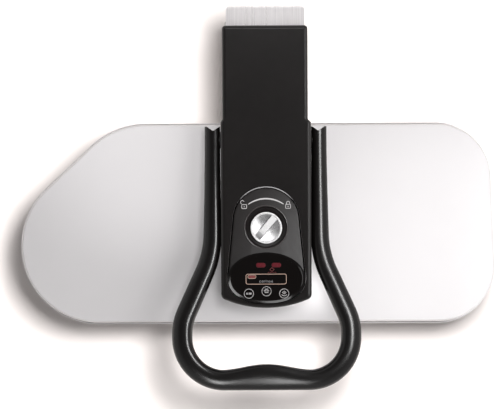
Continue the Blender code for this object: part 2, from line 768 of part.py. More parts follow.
def base_floor():
    """Flat underside that closes the tub and the spine and carries the feet."""
    half = SPINE_WIDTH / 2 - BASE_WALL - GAP
    rear = REAR_Y - SPINE_SETBACK - BASE_WALL - GAP
    top = FLOOR_Z + FLOOR_THICKNESS
    inset = BASE_INSET + BASE_DRAFT + BASE_WALL + GAP
    body = slab("base_floor", plate_outline(-inset), FLOOR_Z, top, "grey_plastic")
    join(body, block(
        "base_floor_spine", (arm_x(-half), PLATE_CENTRE_Y, FLOOR_Z), (arm_x(half), rear, top), "grey_plastic"
    ))
    return body


def feet():
    """Four round feet under the tub and one wide foot under the hinge column."""
    left, right = -PLATE_LENGTH / 2, PLATE_LENGTH / 2
    front, rear = PLATE_CENTRE_Y - PLATE_DEPTH / 2, PLATE_CENTRE_Y + PLATE_DEPTH / 2
    spots = {
        "foot_front_left": (left + FOOT_INSET_LEFT_FRONT, front + FOOT_INSET_Y),
        "foot_front_right": (right - FOOT_INSET_RIGHT, front + FOOT_INSET_Y),
        "foot_rear_left": (left + FOOT_INSET_LEFT_REAR, rear - FOOT_INSET_Y),
        "foot_rear_right": (right - FOOT_INSET_RIGHT, rear - FOOT_INSET_Y),
    }
    top = FOOT_HEIGHT - GAP
    for name, (x, y) in spots.items():
        rings = [level_ring(circle(FOOT_RADIUS - FOOT_DRAFT, x, y, 16), 0),
            level_ring(circle(FOOT_RADIUS, x, y, 16), top)]
        stack(name, rings, "rubber")
    half_x, half_y = REAR_FOOT_LENGTH / 2, REAR_FOOT_DEPTH / 2
    stack("foot_column", [
        level_ring(rectangle(half_x - FOOT_DRAFT, half_y - FOOT_DRAFT, arm_x(), HINGE_Y, FOOT_DRAFT), 0),
        level_ring(rectangle(half_x, half_y, arm_x(), HINGE_Y, 2 * FOOT_DRAFT), top),
    ], "rubber")


def power_inlet():
    """Recessed mains socket in the right flank of the spine."""
    side = arm_x(SPINE_WIDTH / 2)
    y, z = REAR_Y - INLET_SETBACK, FLOOR_Z + INLET_RISE
    half_y, half_z = INLET_WIDTH / 2, INLET_HEIGHT / 2
    body = block(
        "power_inlet", (side - INLET_DEPTH, y - half_y, z - half_z),
        (side, y + half_y, z + half_z), "grey_plastic"
    )
    rim_y, rim_z = half_y - SOCKET_RIM, half_z - SOCKET_RIM
    cut(body, block(
        "inlet_socket", (side - SOCKET_DEPTH, y - rim_y, z - rim_z),
        (side + OVERRUN, y + rim_y, z + rim_z), "grey_plastic"
    ))
    return body


def board_posts():
    """Four stand-offs that leave room for steam below the board."""
    front, rear = PLATE_CENTRE_Y - PLATE_DEPTH / 2, PLATE_CENTRE_Y + PLATE_DEPTH / 2
    for row, y in (("front", front + POST_INSET_Y), ("rear", rear - POST_INSET_Y)):
        for side, x in (("left", POST_INSET_LEFT - PLATE_LENGTH / 2),
            ("right", PLATE_LENGTH / 2 - POST_INSET_RIGHT)):
            profile = [
                (0, GAP), (POST_FLANGE_RADIUS, GAP), (POST_FLANGE_RADIUS, POST_FLANGE_HEIGHT),
                (POST_RADIUS, POST_FLANGE_HEIGHT), (POST_RADIUS, POST_HEIGHT - GAP), (0, POST_HEIGHT - GAP),
            ]
            turned(f"board_post_{row}_{side}", profile, (x, y, DECK_Z), "zinc_steel", sides=16)


def centred(count, pitch):
    """Places of a centred row of copies."""
    return [(i - (count - 1) / 2) * pitch for i in range(count)]


def board_pan():
    """Sheet-steel board with a turned-down rim and vent holes."""
    top, wall, edge = PAN_Z + PAN_WALL, PAN_WALL, PAN_INSET
    body = shell(
        "board_pan",
        [plate_ring(edge, RIM_Z), plate_ring(edge, top - wall), plate_ring(edge + wall, top)],
        [plate_ring(edge + wall, RIM_Z), plate_ring(edge + wall, PAN_Z - wall),
            plate_ring(edge + 2 * wall, PAN_Z)],
        "zinc_steel",
    )
    columns, rows = centred(VENT_COLUMNS, VENT_PITCH_X), centred(VENT_ROWS, VENT_PITCH_Y)
    vents = [
        circle(VENT_RADIUS, x, PLATE_CENTRE_Y + y, 8)
        for x in columns for y in rows
        if x not in (columns[0], columns[-1]) or abs(y) < VENT_RADIUS
    ]
    cut(body, prisms("pan_vents", vents, PAN_Z - OVERRUN, PAN_Z + OVERRUN))
    return body


def rounded_edge(inset, top, size):
    """Rings of a quarter-round edge that ends level with the top."""
    rings = []
    for step in range(ROUND_STEPS + 1):
        turn = step / ROUND_STEPS * math.pi / 2
        rings.append(plate_ring(inset + size * (1 - math.cos(turn)), top - size * (1 - math.sin(turn))))
    return rings


def board_pad():
    """Foam and felt pad with drawn-in sides, on the pan."""
    top = PAD_Z + PAD_THICKNESS
    rings = [plate_ring(PAN_INSET + PAD_WAIST, PAD_Z), plate_ring(PAN_INSET, PAD_Z + PAD_WAIST)]
    rings += rounded_edge(PAN_INSET, top, PAD_EDGE)
    return stack("board_pad", rings, "felt")


def board_cloth():
    """Fitted cover: over the pad, down past the pan's rim and turned under it."""
    thick, inset = CLOTH_THICKNESS, CLOTH_INSET
    low = RIM_Z - GAP
    outer = [plate_ring(CLOTH_HEM, low - thick), plate_ring(inset + thick, low - thick),
        plate_ring(inset, low)]
    outer += rounded_edge(inset, CLOTH_Z + thick, PAD_EDGE)
    inner = [plate_ring(CLOTH_HEM, low), plate_ring(inset + 2 * thick, low),
        plate_ring(inset + thick, low + thick)]
    inner += rounded_edge(inset + thick, CLOTH_Z, PAD_EDGE - thick)
    return shell("board_cloth", outer, inner, "cloth")


def column_frame():
    """Steel bracket: two cheeks that carry the hinge, a rear web and a foot plate on the deck."""
    half = COLUMN_DEPTH / 2
    low, high = DECK_Z + GAP, HINGE_Z + CHEEK_RADIUS
    shoulder = HINGE_Z - half
    profile = rounded([
        (HINGE_Y - half, low, 0), (HINGE_Y + half, low, 0), (HINGE_Y + half, shoulder, 0),
        (HINGE_Y + CHEEK_RADIUS, HINGE_Z, 0), (HINGE_Y + CHEEK_RADIUS, high, CHEEK_RADIUS - GAP),
        (HINGE_Y - CHEEK_RADIUS, high, CHEEK_RADIUS - GAP), (HINGE_Y - CHEEK_RADIUS, HINGE_Z, 0),
        (HINGE_Y - half, shoulder, 0),
    ])
    body = cross_slab("column_frame", profile, arm_x(-CHEEK_HALF), arm_x(CHEEK_HALF), "zinc_steel")
    inner, thick = CHEEK_HALF - CHEEK_THICKNESS, CHEEK_THICKNESS
    open_front, open_rear, open_top = HINGE_Y - half - OVERRUN, HINGE_Y + half + OVERRUN, high + OVERRUN
    room = [
        (open_front, low + thick), (HINGE_Y + half - thick, low + thick),
        (HINGE_Y + half - thick, shoulder - thick),
        (open_rear, shoulder - thick), (open_rear, open_top), (open_front, open_top),
    ]
    cut(body, cross_slab("frame_room", room, arm_x(-inner), arm_x(inner), "zinc_steel"))
    reach = CHEEK_HALF + OVERRUN
    cut(body, cross_bar("frame_hinge_bore", reach, HINGE_Y, HINGE_Z, HINGE_PIN_RADIUS + GAP, "zinc_steel"))
    cut(body, cross_bar("frame_stop_bore", reach, *stop_place(), STOP_RADIUS + GAP, "zinc_steel",
        SMALL_SIDES))
    return body


def hinge_pin():
    """Headed pin through both cheeks and both sides of the arm channel."""
    half = CHANNEL_WIDTH / 2 + GAP
    head, bevel = half + HINGE_HEAD_THICKNESS, HINGE_HEAD_THICKNESS / 2
    side = [(HINGE_PIN_RADIUS, half), (HINGE_HEAD_RADIUS, half), (HINGE_HEAD_RADIUS, head - bevel),
            (HINGE_HEAD_RADIUS - bevel, head), (0, head)]
    profile = [(radius, -height) for radius, height in reversed(side)] + side
    return turned("hinge_pin", profile, (arm_x(), HINGE_Y, HINGE_Z), "chrome", axis="X", sides=16)


def column_cover():
    """Moulded cap over the springs, between the cheeks."""
    half_x = CHEEK_HALF - CHEEK_THICKNESS - GAP
    front, rear = HINGE_Y - COLUMN_DEPTH / 2, HINGE_Y + COLUMN_DEPTH / 2 - CHEEK_THICKNESS - GAP

    def solid(name, inset, low):
        profile = rounded([
            (front + inset, low, 0), (rear - inset, low, 0),
            (rear - inset, HINGE_Z + COLUMN_CAP_RADIUS - inset, COLUMN_CAP_RADIUS - inset),
            (front + inset, HINGE_Z + COLUMN_CAP_RADIUS - inset, COLUMN_CAP_RADIUS - inset),
        ])
        return cross_slab(name, profile, arm_x(inset - half_x), arm_x(half_x - inset), "black_plastic")

    low = DECK_Z + CHEEK_THICKNESS + 2 * GAP
    body = solid("column_cover", 0, low)
    reach = half_x + OVERRUN
    cut(body, solid("column_cover_room", COLUMN_WALL, low - OVERRUN))
    cut(body, cross_bar("column_pin_bore", reach, HINGE_Y, HINGE_Z, HINGE_PIN_RADIUS + GAP, "black_plastic"))
    cut(body, cross_bar("column_stop_bore", reach, *stop_place(), STOP_RADIUS + GAP,
        "black_plastic", SMALL_SIDES))
    return body


def lift_springs():
    """Two torsion springs on the hinge pin that balance the arm, each one unbroken wire."""
    radius = (HINGE_PIN_RADIUS + SPRING_CLEARANCE + SPRING_WIRE / 2) / math.cos(math.pi / SPRING_POINTS)
    tail = Vector((0, 0, -SPRING_LEG))
    for name, side in (("left", -1), ("right", 1)):
        coil = []
        for step in range(SPRING_TURNS * SPRING_POINTS + 1):
            share = step / SPRING_POINTS
            turn = share * math.tau
            coil.append(Vector((
                arm_x(side * (SPRING_OFFSET + SPRING_PITCH * share)),
                HINGE_Y + radius * math.cos(turn),
                HINGE_Z + radius * math.sin(turn),
            )))
        tube(f"lift_spring_{name}", [coil[0] + tail] + coil + [coil[-1] + tail], SPRING_WIRE / 2,
            "zinc_steel", 1)
    apart = SPRING_POINTS // 2
    least = min((a - b).length - SPRING_WIRE for i, a in enumerate(coil) for b in coil[i + apart:])
    print(f"lift spring: least gap between turns {least / MM:.2f} mm")


def leg_edge_turn():
    """The direction square to the rear edge of the channel's ears, which runs from the ear to the rear wall."""
    rise = HINGE_DROP - CHANNEL_HEIGHT
    return math.atan2(rise, HINGE_SETBACK) + math.asin(EAR_RADIUS / math.hypot(HINGE_SETBACK,
        rise)) - math.pi / 2


def stop_place():
    """Where the stop rod lies in Y and Z, just clear of the ears' rear edge at full lift."""
    turn = leg_edge_turn() - LIFT_ANGLE
    out, along = EAR_RADIUS + STOP_RADIUS + GAP, STOP_ALONG
    return (
        HINGE_Y + out * math.cos(turn) - along * math.sin(turn),
        HINGE_Z + out * math.sin(turn) + along * math.cos(turn),
    )


def stop_rod():
    """Rubber-sleeved rod through the cheeks that stops the arm at full lift."""
    return cross_bar("stop_rod", CHANNEL_WIDTH / 2, *stop_place(), STOP_RADIUS, "rubber", SMALL_SIDES)


def channel_profile():
    """Side profile of the arm channel with its hinge ears."""
    depth = HINGE_Z - EAR_RADIUS

    def foot(reach, rise, side):
        span = math.hypot(reach, rise)
        slope = math.atan2(rise, reach) + side * math.asin(EAR_RADIUS / span)
        return HINGE_Y + reach - (rise + EAR_RADIUS) / math.tan(slope)

    rise = ARM_Z - HINGE_Z
    return rounded([
        (CHANNEL_FRONT_Y, ARM_Z, 0),
        (HINGE_Y - EAR_REACH, ARM_Z, 0),
        (foot(-EAR_REACH, rise, -1), depth, EAR_RADIUS),
        (foot(HINGE_SETBACK, rise, 1), depth, EAR_RADIUS),
        (REAR_Y, ARM_Z, 0),
        (REAR_Y, WEB_TOP, CHANNEL_BEND),
        (CHANNEL_FRONT_Y, WEB_TOP, 0),
    ])


def arm_channel():
    """Folded steel beam, open below, with ears that hang on the hinge pin and lips that carry the tank."""
    half, wall = CHANNEL_WIDTH / 2, CHANNEL_WALL
    low = HINGE_Z - EAR_RADIUS - OVERRUN
    body = cross_slab("arm_channel", channel_profile(), arm_x(-half), arm_x(half), "brushed_steel")
    room = rounded([
        (CHANNEL_FRONT_Y - OVERRUN, low, 0), (REAR_Y - wall, low, 0),
        (REAR_Y - wall, WEB_Z, CHANNEL_BEND - wall),
        (CHANNEL_FRONT_Y - OVERRUN, WEB_Z, 0),
    ])
    cut(body, cross_slab("channel_room", room, arm_x(wall - half), arm_x(half - wall), "brushed_steel"))
    plan = rounded([
        (arm_x(-half), CHANNEL_FRONT_Y, 0), (arm_x(half), CHANNEL_FRONT_Y, 0),
        (arm_x(half), REAR_Y, CHANNEL_CORNER), (arm_x(-half), REAR_Y, CHANNEL_CORNER),
    ])
    boolean(body, slab("channel_plan", plan, low, WEB_TOP + OVERRUN, "brushed_steel"), "INTERSECT")
    for name, side in (("left", -1), ("right", 1)):
        near, far = sorted((side * (half - wall / 2), side * (half - wall - CHANNEL_LIP)))
        join(body, block(
            f"channel_lip_{name}",
            (arm_x(near), CHANNEL_FRONT_Y, ARM_Z), (arm_x(far), TANK_REAR_Y, ARM_Z + wall), "brushed_steel",
        ))
    reach = half + OVERRUN
    cut(body, cross_bar("channel_hinge_bore", reach, HINGE_Y, HINGE_Z, HINGE_PIN_RADIUS + GAP,
        "brushed_steel"))
    bush = SHAFT_RADIUS + BUSH_WALL + 2 * GAP
    cut(body, cross_bar("channel_shaft_bore", reach, SHAFT_Y, SHAFT_Z, bush, "brushed_steel"))
    pin = BAR_PIN_RADIUS + GAP
    cut(body, cross_bar("channel_pivot_bore", reach, BAR_PIVOT_Y, BAR_AXIS_Z, pin,
        "brushed_steel", SMALL_SIDES))
    spindle = circle(SPINDLE_RADIUS + GAP, arm_x(), KNOB_Y, SMALL_SIDES)
    cut(body, prisms("channel_spindle_hole", [spindle], WEB_Z - OVERRUN / 2, WEB_TOP + OVERRUN / 2))
    return body


def arm_cover_outline(inset=0):
    """Plan of the arm cover: straight rear part, a flare and a wider front with a bowed nose."""
    rear_half, front_half = ARM_COVER_REAR / 2 - inset, ARM_COVER_FRONT / 2 - inset
    rear = REAR_Y - ARM_COVER_SETBACK - inset
    step = REAR_Y - ARM_COVER_STEP
    radius = ARM_COVER_NOSE_RADIUS - inset
    centre = NOSE_Y + ARM_COVER_NOSE_RADIUS
    bow = math.asin(front_half / radius)

    def nose(turn):
        return arm_x(radius * math.sin(turn)), centre - radius * math.cos(turn)

    corner = max(ARM_COVER_NOSE_CORNER - inset, GAP)
    tail = max(ARM_COVER_TAIL_CORNER - inset, GAP)
    right = [
        (*nose(bow), corner),
        (arm_x(front_half), step - ARM_COVER_FLARE, 0),
        (arm_x(rear_half), step, ARM_COVER_FLARE),
        (arm_x(rear_half), rear, tail),
    ]
    left = [(2 * arm_x() - x, y, size) for x, y, size in reversed(right)]
    bowed = [(*nose(bow * share), 0) for share in NOSE_SHARES]
    return rounded(right + left + bowed)


NOSE_SHARES = (-0.7, -0.45, -0.15, 0.15, 0.45, 0.7)


def arm_cover():
    """Black moulding over the channel, with openings for the panel, the tank and the shaft."""
    outer = [level_ring(arm_cover_outline(), ARM_Z)]
    for step in range(ROUND_STEPS + 1):
        turn = step / ROUND_STEPS * math.pi / 2
        inset = ARM_COVER_DRAFT + ARM_COVER_ROUND * (1 - math.cos(turn))
        outer.append(level_ring(arm_cover_outline(inset), COVER_Z - ARM_COVER_ROUND * (1 - math.sin(turn))))
    wall = ARM_COVER_WALL
    inner = [
        level_ring(arm_cover_outline(wall), ARM_Z),
        level_ring(arm_cover_outline(ARM_COVER_DRAFT + wall), COVER_Z - 2 * wall),
        level_ring(arm_cover_outline(ARM_COVER_DRAFT + wall + GAP), COVER_Z - wall),
    ]
    body = shell("arm_cover", outer, inner, "black_plastic")
    channel = CHANNEL_WIDTH / 2 + GAP
    rear = REAR_Y - ARM_COVER_SETBACK
    low = ARM_Z - OVERRUN
    cut(body, block(
        "cover_channel_opening",
        (arm_x(-channel), rear - OVERRUN, low), (arm_x(channel), rear + OVERRUN, WEB_TOP + GAP),
        "black_plastic",
    ))
    cut(body, slab("cover_panel_opening", panel_outline(PANEL_GAP), COVER_Z - OVERRUN / 2,
        COVER_Z + OVERRUN, "black_plastic"))
    tank = TANK_HALF + TANK_CLEARANCE
    top = TANK_TOP + TANK_LIP_HEIGHT + TANK_CLEARANCE
    cut(body, block(
        "cover_tank_opening",
        (arm_x(-tank), NOSE_Y - OVERRUN, low), (arm_x(tank), CHANNEL_FRONT_Y, top), "black_plastic",
    ))
    bush = SHAFT_RADIUS + BUSH_WALL + 2 * GAP
    cut(body, cross_bar("cover_shaft_bore", ARM_COVER_FRONT, SHAFT_Y, SHAFT_Z, bush, "black_plastic"))
    return body


def key_spots():
    """Plan places of the three keys, the middle one a little higher."""
    return {
        "key_left": (arm_x(-KEY_SPACING), KEY_Y),
        "key_middle": (arm_x(), KEY_Y + LENS_DEPTH * KEY_BOW_SHARE),
        "key_right": (arm_x(KEY_SPACING), KEY_Y),
    }


def lamp_spots():
    """Plan places of the two red indicator lamps."""
    return {"lamp_left": (arm_x(LAMP_X_LEFT), LAMP_Y), "lamp_right": (arm_x(LAMP_X_RIGHT), LAMP_Y)}


def control_openings():
    """Outlines that pass the keys and the lamps."""
    keys = [circle(KEY_RADIUS + KEY_CLEARANCE, x, y, 16) for x, y in key_spots().values()]
    return keys + [pill_outline(LAMP_LENGTH, LAMP_DEPTH, x, y, GAP) for x, y in lamp_spots().values()]


def control_fascia():
    """Shield-shaped panel with a flange under the cover's edge."""
    flange = COVER_Z - ARM_COVER_WALL - GAP
    body = stack("control_fascia", [
        level_ring(panel_outline(PANEL_FLANGE), PANEL_Z), level_ring(panel_outline(PANEL_FLANGE), flange),
        level_ring(panel_outline(), flange), level_ring(panel_outline(), PANEL_TOP),
    ], "black_plastic")
    bezel = circle(BEZEL_RADIUS - BEZEL_LIP + GAP, arm_x(), KNOB_Y)
    display = rectangle(DISPLAY_LENGTH / 2 + GAP, DISPLAY_DEPTH / 2 + GAP, arm_x(), DISPLAY_Y)
    openings = control_openings() + [bezel, display]
    cut(body, prisms("fascia_openings", openings, PANEL_Z - OVERRUN / 2, PANEL_TOP + OVERRUN / 2))
    return body


def display_lens():
    """Gloss oval lens with a bevelled edge."""
    body = stack("display_lens", [
        level_ring(lens_outline(), LENS_Z), level_ring(lens_outline(), LENS_TOP - LENS_BEVEL),
        level_ring(lens_outline(-LENS_BEVEL), LENS_TOP),
    ], "gloss_black")
    cut(body, prisms("lens_openings", control_openings(), LENS_Z - OVERRUN / 2, LENS_TOP + OVERRUN / 2))
    return body


def lamps():
    """Two red light pipes that fill their windows in the lens."""
    made = []
    for name, (x, y) in lamp_spots().items():
        outline = pill_outline(LAMP_LENGTH, LAMP_DEPTH, x, y)
        made.append(slab(name, outline, LENS_TOP - LAMP_HEIGHT, LENS_TOP, "red_lamp"))
    return made


def display_unit():
    """Display module that stands on the circuit board under the lens."""
    outline = rectangle(DISPLAY_LENGTH / 2, DISPLAY_DEPTH / 2, arm_x(), DISPLAY_Y)
    return slab("display_unit", outline, BOARD_TOP + GAP, LENS_Z - GAP, "grey_plastic")


def key_stem_z():
    """Where a key's stem ends."""
    return PANEL_Z - GAP - KEY_FLANGE_HEIGHT - KEY_STEM


def control_board():
    """Circuit board with its spacers and the three key switches."""
    half_x, half_y = BOARD_WIDTH / 2, BOARD_DEPTH / 2
    body = slab("control_board", rectangle(half_x, half_y, arm_x(), LENS_Y), BOARD_Z, BOARD_TOP,
        "circuit_board")
    inner_x = half_x - BOARD_INSET
    front, rear = CHANNEL_FRONT_Y + BOARD_INSET, LENS_Y + half_y - BOARD_INSET
    spots = [(side * inner_x, y) for side in (-1, 1) for y in (front, rear)]
    middle = BOARD_Z + BOARD_THICKNESS / 2
    spacers = prisms(
        "board_spacers", [circle(SPACER_RADIUS, arm_x(x), y, 8) for x, y in spots], WEB_TOP + GAP, middle
    )
    top = key_stem_z() - KEY_TRAVEL - GAP
    switches = prisms(
        "board_switches", [circle(SPACER_RADIUS, x, y, 8) for x, y in key_spots().values()], middle, top
    )
    join(body, spacers, switches)
    return body


def keys():
    """Three round keys with a flange under the panel and a stem over the switch."""
    made = []
    stem, flange_top = key_stem_z(), PANEL_Z - GAP
    flange_low, top = flange_top - KEY_FLANGE_HEIGHT, LENS_TOP + KEY_PROUD
    wide = KEY_RADIUS + KEY_FLANGE
    for name, (x, y) in key_spots().items():
        profile = [
            (0, stem), (KEY_STEM_RADIUS, stem), (KEY_STEM_RADIUS, flange_low), (wide, flange_low),
            (wide, flange_top),
            (KEY_RADIUS, flange_top), (KEY_RADIUS, top - KEY_PROUD), (KEY_RADIUS - KEY_PROUD, top), (0, top),
        ]
        made.append(turned(name, profile, (x, y, 0), "gloss_black", sides=16))
    return made


def knob_bezel():
    """Recessed ring round the knob, seated on the panel by its lip."""
    lip, well = PANEL_TOP + GAP, BEZEL_RADIUS - BEZEL_LIP
    floor_top = PANEL_TOP - BEZEL_DEPTH
    floor_low = floor_top - BEZEL_FLOOR
    inner = well - BEZEL_FLOOR
    bore = SPINDLE_RADIUS + GAP
    profile = [
        (bore, floor_low), (well, floor_low), (well, lip), (BEZEL_RADIUS, lip),
        (BEZEL_RADIUS, lip + BEZEL_PROUD),
        (inner, lip + BEZEL_PROUD), (inner - BEZEL_SLOPE, floor_top), (bore, floor_top),
    ]
    return turned("knob_bezel", profile, (arm_x(), KNOB_Y, 0), "black_plastic")


def lock_knob():
    """Round knob with a raised rim and a grip bar between two scoops."""
    low, top = PANEL_TOP - BEZEL_DEPTH + KNOB_CLEARANCE, PANEL_TOP + KNOB_PROUD
    scoop = top - KNOB_SCOOP_DEPTH
    inner = KNOB_RADIUS - KNOB_RIM
    place = (arm_x(), KNOB_Y, 0)
    body = turned("lock_knob", [
        (0, low), (KNOB_RADIUS, low), (KNOB_RADIUS, top - KNOB_CHAMFER),
        (KNOB_RADIUS - KNOB_CHAMFER, top), (0, top)
    ], place, "chrome")
    for name, side in (("left", 1), ("right", -1)):
        half_moon = []
        start = math.asin(KNOB_BAR_WIDTH / 2 / inner)
        for step in range(SMALL_SIDES + 1):
            turn = start + (math.pi - 2 * start) * step / SMALL_SIDES
            x, y = inner * math.cos(turn), side * inner * math.sin(turn)
            half_moon.append((
                arm_x(x * math.cos(KNOB_ANGLE) - y * math.sin(KNOB_ANGLE)),
                KNOB_Y + x * math.sin(KNOB_ANGLE) + y * math.cos(KNOB_ANGLE),
            ))
        cut(body, prisms(f"knob_scoop_{name}", [half_moon], scoop, top + OVERRUN))
    seat = circle(SPINDLE_RADIUS + GAP, arm_x(), KNOB_Y, SMALL_SIDES)
    cut(body, prisms("knob_seat", [seat], low - OVERRUN, low + KNOB_SEAT + GAP))
    return body


def knob_spindle():
    """Spindle under the knob with a crank disc whose pin drives the lock rod."""
    top = PANEL_TOP - BEZEL_DEPTH + KNOB_CLEARANCE + KNOB_SEAT
    disc_top = CRANK_Z + CRANK_THICKNESS
    profile = [(0, CRANK_Z), (CRANK_RADIUS, CRANK_Z), (CRANK_RADIUS, disc_top), (SPINDLE_RADIUS, disc_top),
               (SPINDLE_RADIUS, top), (0, top)]
    body = turned("knob_spindle", profile, (arm_x(), KNOB_Y, 0), "zinc_steel", sides=SMALL_SIDES)
    x, y = arm_x(CRANK_THROW * math.cos(CRANK_START)), KNOB_Y + CRANK_THROW * math.sin(CRANK_START)
    pin = prisms("crank_pin", [circle(CRANK_PIN_RADIUS, x, y, SMALL_SIDES)], ROD_Z,
        CRANK_Z + CRANK_THICKNESS / 2)
    join(body, pin)
    return body


def lock_rod():
    """Flat rod from the crank to the lock disc, with a cross slot for the crank pin."""
    pad_x, pad_y, rod = ROD_PAD_WIDTH / 2, ROD_PAD_DEPTH / 2, ROD_WIDTH / 2
    tip = SHAFT_Y - LOCK_DISC_RADIUS - ROD_TIP_GAP
    right = [(pad_x, ROD_PAD_Y - pad_y), (pad_x, ROD_PAD_Y + pad_y), (rod, ROD_PAD_Y + pad_y), (rod, tip)]
    outline = [(arm_x(x), y) for x, y in right] + [(arm_x(-x), y) for x, y in reversed(right)]
    body = slab("lock_rod", outline, ROD_Z, ROD_TOP, "zinc_steel")
    near, far = CRANK_THROW * math.cos(CRANK_START), -CRANK_THROW
    room = CRANK_PIN_RADIUS + ROD_CLEARANCE
    slot = rectangle((near - far) / 2 + room, room, arm_x((near + far) / 2), ROD_PAD_Y)
    cut(body, prisms("rod_slot", [slot], ROD_Z - OVERRUN / 2, ROD_TOP + OVERRUN / 2))
    return body


def rod_guide():
    """Bracket under the web that guides the lock rod."""
    room_x = ROD_WIDTH / 2 + ROD_CLEARANCE
    half_x, half_y, y = room_x + GUIDE_WALL, GUIDE_DEPTH / 2, REAR_Y - GUIDE_SETBACK
    low, high = ROD_Z - ROD_CLEARANCE, ROD_TOP + ROD_CLEARANCE
    body = block(
        "rod_guide", (arm_x(-half_x), y - half_y, low - GUIDE_WALL),
        (arm_x(half_x), y + half_y, WEB_Z - GAP), "zinc_steel"
    )
    cut(body, block(
        "guide_passage",
        (arm_x(-room_x), y - half_y - OVERRUN, low), (arm_x(room_x), y + half_y + OVERRUN, high),
        "zinc_steel",
    ))
    return body


def shaft_bushes():
    """Flanged bearings of the lever shaft, seen as bosses between the arm and the lever."""
    inner, outer = SHAFT_RADIUS + GAP, SHAFT_RADIUS + GAP + BUSH_WALL
    start, boss, end = CHANNEL_WIDTH / 2 - CHANNEL_WALL, ARM_COVER_FRONT / 2 + GAP / 2, LEVER_INNER - LEVER_SIDE_GAP
    made = []
    for name, side in (("left", -1), ("right", 1)):
        profile = [(inner, start), (outer, start), (outer, boss), (BUSH_FLANGE_RADIUS, boss),
            (BUSH_FLANGE_RADIUS, end),
                   (inner, end)]
        profile = [(radius, side * along) for radius, along in profile]
        made.append(turned(f"shaft_bush_{name}", profile, (arm_x(), SHAFT_Y, SHAFT_Z), "brass",
            axis="X", sides=16))
    return made


def lever_path():
    """The loop's centreline in plan, from the right end round the grip to the left end."""
    front, bend = (LEVER_THICKNESS_FRONT - DEPTH) / 2, SHAFT_Y - LEVER_SPLAY_END
    right = [
        (LEVER_REAR_WIDTH / 2, SHAFT_Y + LEVER_TAIL, 0),
        (LEVER_REAR_WIDTH / 2, SHAFT_Y - LEVER_SPLAY_START, LEVER_SPLAY_RADIUS),
        (LEVER_FRONT_WIDTH / 2, bend, (bend - front) * LEVER_SIDE_SHARE),
        (LEVER_FRONT_WIDTH / 2, front, (bend - front) * LEVER_CORNER_SHARE),
    ]
    left = [(-x, y, radius) for x, y, radius in reversed(right)]
    return even_line([Vector((x, y, 0)) for x, y in rounded(right + left, 10)], LEVER_RINGS)


def lever_loop():
    """Black loop lever: oval tube that rises and thickens to the grip, with notched rear ends."""
    path = lever_path()
    rings = []
    for i, point in enumerate(path):
        way = (path[min(i + 1, len(path) - 1)] - path[max(i - 1, 0)]).normalized()
        side = Vector((way.y, -way.x, 0))
        forward = (SHAFT_Y - point.y) / LEVER_SPLAY_END
        grip = blend(0, LEVER_GRIP_BULGE, 1 - abs(point.x) / (LEVER_GRIP_LENGTH / 2)) if forward > 1 else 0
        half_wide = (blend(LEVER_THICKNESS_REAR, LEVER_THICKNESS_FRONT, forward) + grip) / 2
        half_high = blend(LEVER_HEIGHT_REAR, LEVER_HEIGHT_FRONT, forward) / 2
        centre = Vector((arm_x(point.x), point.y + grip / 2, SHAFT_Z + LEVER_RISE * min(max(forward, 0), 1)))
        ring = []
        for step in range(LEVER_SIDES):
            turn = step / LEVER_SIDES * math.tau
            ring.append(centre + side * half_wide * math.cos(turn) + Vector((0, 0,
                half_high * math.sin(turn))))
        rings.append(ring)
    body = stack("lever_loop", rings, "black_plastic")
    end = SHAFT_Y + LEVER_TAIL
    high = SHAFT_Z + LEVER_HEIGHT_REAR
    slope = LEVER_NOTCH_WIDTH / 2 / LEVER_NOTCH_DEPTH
    for name, side in (("left", -1), ("right", 1)):
        x = arm_x(side * LEVER_REAR_WIDTH / 2)
        wide = slope * (LEVER_NOTCH_DEPTH + OVERRUN)
        notch = [(x, end - LEVER_NOTCH_DEPTH), (x + wide, end + OVERRUN), (x - wide, end + OVERRUN)]
        cut(body, prisms(f"lever_notch_{name}", [notch], SHAFT_Z - LEVER_HEIGHT_REAR, high))
    bore = LEVER_INNER + LEVER_SEAT + GAP
    cut(body, cross_bar("lever_shaft_bore", bore, SHAFT_Y, SHAFT_Z, SHAFT_RADIUS + GAP,
        "black_plastic", SMALL_SIDES))
    return body


def lever_shaft():
    """Shaft that joins both sides of the lever through the arm."""
    return cross_bar("lever_shaft", LEVER_INNER + LEVER_SEAT, SHAFT_Y, SHAFT_Z, SHAFT_RADIUS, "chrome")


